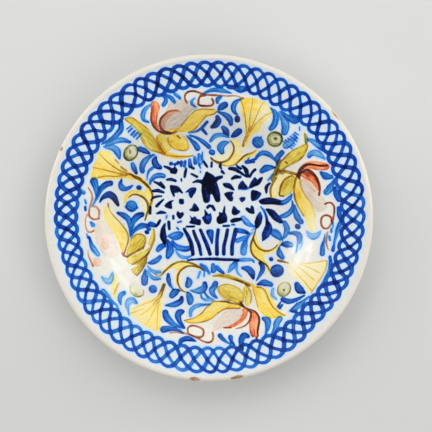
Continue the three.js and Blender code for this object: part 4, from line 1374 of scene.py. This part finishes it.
inner_circle = (133.5, 132.5, 130, 130.5, 132, 130.5, 130, 131, 132.5, 131, 131.5, 131.5, 132, 131,
                134, 132)
load_bearings = (0, 30, 60, 90, 130, 160, 190, 220, 250, 320, 340)
strand_loads = (0.92, 0.86, 0.82, 0.8, 0.82, 0.86, 0.86, 0.92, 1.0, 1.02, 1.0)
strand_width = 3.5
strands = 4
strand_stray = 0.4  # pixels that a strand strays from its swing
width_stray = 0.45
slow_load_stray = 0.22
quick_load_stray = 0.16
hand_beats = (2, 5, 9, 14, 23)  # how often each unsteadiness of the hand comes round the dish
beat_shift = 1.7
beats_together = 1.6  # about what they come to together
blot_edge = 3 * soft_edge
blot_at_edge = 0.8  # how full it is at the edge of the second strand
blot_load = 0.26  # where two strands cross, and as much again halfway out
blot_height = 0.45  # how far from halfway that reaches, as a share of the swing


def unsteady(angle, seed, reach):
    """How far a freehand line strays at each bearing, in the units of its reach."""
    sway = 0
    for beat in hand_beats:
        sway = sway + np.sin(beat * (angle + beat_shift * seed) + seed) / math.sqrt(beat)
    return reach * sway / beats_together


from_centre = seen - dish_centre
reach_out = np.hypot(*from_centre.T)
border = np.flatnonzero(painted & (reach_out > border_from) & (reach_out < border_to))
reach_out = reach_out[border]
bearing = np.arctan2(from_centre[border, 1], from_centre[border, 0])
degrees = np.degrees(bearing) % 360
outer = np.interp(degrees, outer_bearings, outer_circle, period=360)
inner = np.interp(degrees, inner_bearings, inner_circle, period=360)
middle = (outer + inner) / 2
height_out = np.clip((reach_out - middle) / (outer - inner) * 2, -1, 1)
ahead = degrees + crest_lead * np.maximum(height_out, -inner_lead_share * height_out)
round_once = np.array([*crossings, crossings[0] + 360])
count = np.arange(len(round_once))
quarters = np.interp((ahead - crossings[0]) % 360 + crossings[0], round_once, count)
spacing = np.interp(degrees, round_once[1:] % 360, np.diff(round_once), period=360)
gaps = []
loads = []
for strand in range(strands):
    phase = math.pi / 2 * (quarters - strand)
    swing = (outer - inner) / 2 + unsteady(bearing, strand + 5, strand_stray)
    # how steeply the strand crosses the border, so that it is as wide there as at its crests
    lean = swing * np.sin(phase) * 90 / spacing / reach_out
    gaps.append(np.abs(reach_out - middle - swing * np.cos(phase)) / np.hypot(1, lean))
    slow = unsteady(bearing, strand * 3 + 17, slow_load_stray)
    loads.append(slow + unsteady(bearing * 3, strand, quick_load_stray))
width = strand_width + unsteady(bearing, 13, width_stray)
insides = (width / 2 - np.array(gaps)) * pixel
# the strand that lies on top at each point, and the one that it crosses
order = insides.argsort(0)
nearest, second = (np.take_along_axis(insides, order[rank:][:1], 0)[0] for rank in (-1, -2))
load = np.interp(degrees, load_bearings, strand_loads, period=360)
load = load + np.take_along_axis(np.array(loads), order[-1:], 0)[0]
crossed = np.clip(blot_at_edge + second / blot_edge, 0, 1)
blot = blot_load * crossed * (1 + np.exp(-((height_out / blot_height) ** 2)))
cobalt.lay(border, nearest, load + blot)

for pigment in pigments:
    pigment.keep()


# The glaze: a thick, opaque white tin glaze over the whole dish, glossy and a little uneven,
# that drew the painted colours into itself. It is bare where the foot stood in the kiln and
# where the lip is chipped, and it has worn thin along the roll of the lip.

glaze_white = "#e6e9e6"  # what the pigments were matched on
warm_white = "#eae8dc"
cloudy_white = "#e6e2d7"
mottled_white = "#e3dacf"
cool_white = "#e7edf0"
thin_white = "#dedcd7"
lip_cream = "#e4dccd"
bare_clay = "#c9a67c"
burnt_clay = "#b48a5e"
iron_speck = "#8a7a6c"
bled_cobalt = "#c6e0fa"
well_glaze = (0.05, 0.09)  # distances from the axis between which each finish comes or goes
rim_glaze = (0.128, 0.15)
border_begins = (0.128, 0.138)
border_ends = (0.164, 0.168)
lip_wear = (0.1702, 0.1718)
gloss = (0.26, 0.38)  # roughness of the smoothest and the dullest glaze
foot_wear = (0.0006, 0.0012)  # heights between which the bare foot gives way to glaze
pigment_ramps = {  # the colour of each load as it shows on the white glaze
    "cobalt": ((0, glaze_white), (0.08, "#d2e2f0"), (0.18, "#b0d2f2"), (0.32, "#84baf0"),
               (0.48, "#4e9ce4"), (0.66, "#2078d0"), (0.86, "#025cc0"), (1.06, "#0044ac"),
               (1.3, "#002e90"), (1.55, "#001c6a"), (1.8, "#030e34"), (2.0, "#050b1c")),
    "lilac": ((0, glaze_white), (0.3, "#e6dfd6"), (0.6, "#d6cdc4"), (1.0, "#beb1ae")),
    "rose": ((0, glaze_white), (0.5, "#e6c0aa"), (1.0, "#d09a80")),
    "yellow": ((0, glaze_white), (0.22, "#f2ecc6"), (0.48, "#f6e78e"), (0.7, "#f6dd62"),
               (0.95, "#f4d044"), (1.15, "#e8ba30"), (1.4, "#c2941e"), (1.7, "#8a6a18")),
    "olive": ((0, glaze_white), (0.3, "#efe8b0"), (0.6, "#e8d860"), (0.8, "#dcc440"),
              (1.0, "#c4a430"), (1.4, "#86701c")),
    "green": ((0, glaze_white), (0.3, "#d4d6b0"), (0.6, "#acb078"), (1.0, "#788044"),
              (1.4, "#46481c"), (1.8, "#2a2a10")),
    "orange": ((0, glaze_white), (0.3, "#f4ccaa"), (0.6, "#f2ac80"), (0.85, "#ea8a56"),
               (1.1, "#d05e34"), (1.4, "#a43c1c")),
    "ochre": ((0, glaze_white), (0.4, "#d8ca96"), (0.8, "#b09548"), (1.1, "#866a24"),
              (1.5, "#503c10")),
    "brown": ((0, glaze_white), (0.3, "#dfbea9"), (0.6, "#c69276"), (1.0, "#9c503a"),
              (1.4, "#60301e"), (1.8, "#36120c")),
}
deepest = 2.0  # the load at the right end of every ramp
edge_and_body = {  # how the wet colour gathers along the edges of a stroke, and thins inside
    "cobalt": (1.08, 0.7), "yellow": (1.08, 0.92), "olive": (1.15, 0.9), "orange": (1.1, 0.9),
}
usual_edge_and_body = (1.1, 0.95)


def colour(code):
    """The linear colour of a web code, as Blender's sockets take it."""
    linear = []
    for start in (1, 3, 5):
        tone = int(code[start:start + 2], 16) / 255
        linear.append(((tone + 0.055) / 1.055) ** 2.4 if tone > 0.04045 else tone / 12.92)
    return (*linear, 1)


class Varying:
    """A value that changes over the surface; sums and products of it add Math nodes."""

    def __init__(self, finish, socket):
        self.finish = finish
        self.socket = socket

    def __add__(self, other):
        return self.finish.math("ADD", self, other)

    def __sub__(self, other):
        return self.finish.math("SUBTRACT", self, other)

    def __rsub__(self, other):
        return self.finish.math("SUBTRACT", other, self)

    def __mul__(self, other):
        return self.finish.math("MULTIPLY", self, other)

    __radd__ = __add__
    __rmul__ = __mul__


class Finish:
    """The nodes of a material or world. node() adds one: its settings first, then its sockets."""

    def __init__(self, owner, coordinates):
        owner.use_nodes = True
        self.tree = owner.node_tree
        self.tree.nodes.clear()
        self.where = self.node("ShaderNodeTexCoord", output=coordinates)

    def node(self, kind, settings=None, sockets=None, output=None):
        node = self.tree.nodes.new(kind)
        for key, value in (settings or {}).items():
            if key == "stops":
                stops = node.color_ramp.elements
                for index, (position, tone) in enumerate(value):
                    stop = stops[index] if index < 2 else stops.new(position)
                    stop.position = position
                    stop.color = tone
            else:
                setattr(node, key, value)
        for key, value in (sockets or {}).items():
            socket = self.named(key, node.inputs)
            if isinstance(value, Varying):
                self.tree.links.new(value.socket, socket)
            else:
                socket.default_value = value
        if output:
            return Varying(self, self.named(output, node.outputs))
        return Varying(self, node.outputs[0]) if node.outputs else None

    def named(self, label, sockets):
        return next(socket for socket in sockets if label in (socket.identifier, socket.name))

    def math(self, operation, first, second=0.0):
        sockets = {"Value": first, "Value_001": second}
        return self.node("ShaderNodeMath", {"operation": operation}, sockets)

    def mark(self, name, output="Fac"):
        """A value or vector that was written into the mesh under this name."""
        return self.node("ShaderNodeAttribute", {"attribute_name": name}, output=output)

    def part(self, vector, axis):
        return self.node("ShaderNodeSeparateXYZ", sockets={"Vector": vector}, output=axis)

    def length(self, vector):
        return self.node("ShaderNodeVectorMath", {"operation": "LENGTH"}, {"Vector": vector},
                         "Value")

    def scaled(self, vector, scales):
        sockets = {"Vector": vector, "Vector_001": scales}
        return self.node("ShaderNodeVectorMath", {"operation": "MULTIPLY"}, sockets)

    def noise(self, scale, detail):
        sockets = {"Vector": self.where, "Scale": scale, "Detail": detail}
        return self.node("ShaderNodeTexNoise", sockets=sockets)

    def step(self, value, low, high, start=0.0, end=1.0):
        """Goes from start to end in a soft step as the value goes from low to high."""
        sockets = {"Value": value, "From Min": low, "From Max": high, "To Min": start,
                   "To Max": end}
        return self.node("ShaderNodeMapRange", {"interpolation_type": "SMOOTHSTEP"}, sockets)

    def over(self, amount, below, above, blend="MIX"):
        """The colour below, with this amount of the colour above laid over it."""
        sockets = {"Factor_Float": amount, "A_Color": below, "B_Color": above}
        settings = {"data_type": "RGBA", "blend_type": blend}
        return self.node("ShaderNodeMix", settings, sockets, "Result_Color")


tin_glaze = bpy.data.materials.new("tin_glaze")
glaze = Finish(tin_glaze, "Object")
from_axis = glaze.length(glaze.scaled(glaze.where, (1, 1, 0)))
height = glaze.part(glaze.where, "Z")

cloudy = glaze.noise(22, 3)
ripples = glaze.noise(95, 2)
mottle = glaze.noise(160, 3)
brush_marks = glaze.noise(420, 2)
ragged = (glaze.noise(700, 1) - 0.5) * 0.5  # millimetres that an edge strays
slack = 0.35  # millimetres by which the end of a fine line may be rounded out
edge_blur = 0.42  # millimetres to each side of an edge
bristle_spacing = (0, 1.0, 0.09)  # streaks are close together across a stroke, long along it
bare_white = colour(glaze_white)

surface = glaze.over(glaze.step(cloudy, 0.35, 0.7), colour(warm_white), colour(cloudy_white))
surface = glaze.over(glaze.step(mottle, 0.5, 0.75, 0, 0.5), surface, colour(mottled_white))
# The glaze ran down into the well, where it lies thick and cool, and left the rim thinner
thick_glaze = glaze.step(from_axis, *well_glaze, 0.8, 0)
surface = glaze.over(thick_glaze, surface, colour(cool_white))
thin_glaze = glaze.step(from_axis, *rim_glaze, 0, 0.75)
surface = glaze.over(thin_glaze, surface, colour(thin_white))
in_border = glaze.step(from_axis, *border_begins) * glaze.step(from_axis, *border_ends, 1, 0)

for name, stops in pigment_ramps.items():
    stroke = glaze.mark(f"{name}_stroke", "Vector")
    brushed = glaze.mark(f"{name}_load", "Vector")
    inside, half, side = (glaze.part(stroke, axis) for axis in "XYZ")
    load, across = (glaze.part(brushed, axis) for axis in "XY")
    bristles = glaze.scaled(brushed, bristle_spacing)
    streaks = glaze.node("ShaderNodeTexNoise", sockets={"Vector": bristles, "Scale": 1.0})
    past_edge = half - glaze.math("ABSOLUTE", side)
    inside = glaze.math("MINIMUM", inside + slack, past_edge) + ragged
    cover = glaze.step(inside, -edge_blur, edge_blur)
    edge, body = edge_and_body.get(name, usual_edge_and_body)
    if name == "cobalt":
        body = glaze.step(load, 1.1, 1.6, body, 1.0)
    pooled = glaze.step(inside, 0.7, 2.4, edge, body)
    uneven = glaze.step(streaks, 0.32, 0.68, 0.7, 1.3) * (brush_marks * 0.4 + mottle * 0.6 + 0.5)
    fuller_side = glaze.step(across, -2.5, 2.5, 0.86, 1.14)  # the brush leans to one side
    amount = cover * load * pooled * uneven * fuller_side
    if name == "cobalt":
        # cobalt bled a little way out of its strokes into the white
        halo = glaze.step(inside, -3.2, -0.4) * glaze.step(inside, 0.0, 0.5, 1, 0)
        halo = halo * glaze.step(load, 1.35, 1.7, 1, 0) * (in_border * 0.35 + 0.65)
        surface = glaze.over(halo, surface, colour(bled_cobalt))
        amount = amount + glaze.step(inside, -1.6, -0.2) * 0.07
        cobalt_amount = amount
    tints = [
        (laid / deepest, [tone / white for tone, white in zip(colour(code), bare_white)])
        for laid, code in stops
    ]
    tint = glaze.node("ShaderNodeValToRGB", {"stops": tints}, {"Fac": amount * (1 / deepest)})
    surface = glaze.over(1.0, surface, tint, "MULTIPLY")

specks = glaze.node("ShaderNodeTexVoronoi", sockets={"Vector": glaze.where, "Scale": 170},
                    output="Distance")
sparse = glaze.noise(60, 1)
speck = glaze.step(specks + (0.66 - sparse) * 1.2, 0.05, 0.09, 1, 0)
surface = glaze.over(speck * 0.3, surface, colour(iron_speck))

worn_lip = glaze.step(from_axis + (mottle - 0.5) * 0.002, *lip_wear)
surface = glaze.over(worn_lip * 0.75, surface, colour(lip_cream))

chip = glaze.step(glaze.mark("chip_inside") + ragged, -0.15, 0.15)
clay = glaze.over(glaze.step(mottle, 0.4, 0.65), colour(bare_clay), colour(burnt_clay))
rest_face = glaze.step(height + (cloudy - 0.5) * 0.0006, *foot_wear, 1, 0)
bare = glaze.math("MAXIMUM", chip, rest_face)
surface = glaze.over(bare, surface, clay)

roughness = glaze.step(mottle, 0.35, 0.7, *gloss) + bare * 0.5 + worn_lip * 0.1
relief = cloudy * 0.18 + ripples * 0.34 + mottle * 0.04  # in millimetres
relief = relief + glaze.step(cobalt_amount, 0.1, 1.6) * 0.02 - speck * 0.06
relief = relief - bare * brush_marks * 0.15
bump = glaze.node("ShaderNodeBump", sockets={"Strength": 1.0, "Distance": 0.001,
                                             "Height": relief}, output="Normal")
shader = glaze.node("ShaderNodeBsdfPrincipled", sockets={
    "Base Color": surface,
    "Roughness": roughness,
    "Normal": bump,
    "IOR": 1.5,
})
glaze.node("ShaderNodeOutputMaterial", sockets={"Surface": shader})
dish.data.materials.clear()
dish.data.materials.append(tin_glaze)

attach(dish, "root")
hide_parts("dish")


# The dish lies on a plain pale tabletop that runs out into a pale backdrop. Two soft lights
# stand low to its right and left, where the wall mirrors them. The broad lights overhead are
# left out of reflections, so that no bright patch covers the painting in the well.

backdrop_tone = colour("#cfd0d0")
backdrop_begins = (0.7, 1.7)  # metres from the dish between which the table runs out
table_size = 8
pale_tabletop = bpy.data.materials.new("pale_tabletop")
table_finish = Finish(pale_tabletop, "Object")
table_tone = table_finish.over(table_finish.noise(2.0, 2), colour("#dadbd9"), colour("#d5d6d4"))
table_shader = table_finish.node("ShaderNodeBsdfPrincipled", sockets={
    "Base Color": table_tone,
    "Roughness": 0.9,
})
to_camera = table_finish.node("ShaderNodeLightPath", output="Is Camera Ray")
run_out = to_camera * table_finish.step(table_finish.length(table_finish.where), *backdrop_begins)
backdrop = table_finish.node("ShaderNodeEmission", sockets={"Color": backdrop_tone})
table_surface = table_finish.node("ShaderNodeMixShader", sockets={
    "Fac": run_out,
    "Shader": table_shader,
    "Shader_001": backdrop,
})
table_finish.node("ShaderNodeOutputMaterial", sockets={"Surface": table_surface})

bpy.ops.object.select_all(action="DESELECT")
bpy.ops.mesh.primitive_plane_add(size=table_size, location=(0, 0, 0))
tabletop = bpy.context.object
tabletop.name = "tabletop"
bpy.ops.object.transform_apply()
tabletop.data.materials.append(pale_tabletop)

lamps = (  # name, azimuth, lowest and highest elevation, half width, brightness, whether mirrored
    ("softbox_right", 25, 4, 16, 19, 6.0, True),
    ("softbox_left", 160, 4, 17, 8.5, 9.5, True),
    ("ceiling_light_back", 70, 35, 80, 26, 1.35, False),
    ("ceiling_light_left", 155, 35, 80, 26, 1.1, False),
    ("ceiling_light_front", 300, 35, 80, 26, 1.2, False),
)
light_distance = 1.8
watts_per_area = 4  # for a square metre of a light at a brightness of 1
for name, azimuth, lowest, highest, half_width, brightness, mirrored in lamps:
    middle = math.radians((lowest + highest) / 2)
    aim = math.radians(azimuth)
    lamp_data = bpy.data.lights.new(name, "AREA")
    lamp_data.shape = "RECTANGLE"
    lamp_data.size = 2 * light_distance * math.tan(math.radians(half_width))
    lamp_data.size_y = 2 * light_distance * math.tan(math.radians(highest - lowest) / 2)
    lamp_data.energy = watts_per_area * brightness * lamp_data.size * lamp_data.size_y
    lamp = bpy.data.objects.new(name, lamp_data)
    lamp.location = light_distance * Vector((
        math.cos(aim) * math.cos(middle), math.sin(aim) * math.cos(middle), math.sin(middle),
    ))
    lamp.rotation_euler = lamp.location.to_track_quat("Z", "Y").to_euler()
    lamp.visible_camera = False
    lamp.visible_glossy = mirrored
    bpy.context.scene.collection.objects.link(lamp)

world = bpy.data.worlds.new("quiet_room")
bpy.context.scene.world = world
room = Finish(world, "Generated")
level = room.step(room.part(room.where, "Z"), 0.1, 0.75, 0.6, 0.04)  # darker overhead
daylight = room.node("ShaderNodeBackground", sockets={
    "Color": colour("#f2f3f5"),
    "Strength": level,
})
far_wall = room.node("ShaderNodeBackground", sockets={"Color": backdrop_tone})
around = room.node("ShaderNodeMixShader", sockets={
    "Fac": room.node("ShaderNodeLightPath", output="Is Camera Ray"),
    "Shader": daylight,
    "Shader_001": far_wall,
})
room.node("ShaderNodeOutputWorld", sockets={"Surface": around})
bpy.context.scene.view_settings.view_transform = "Standard"
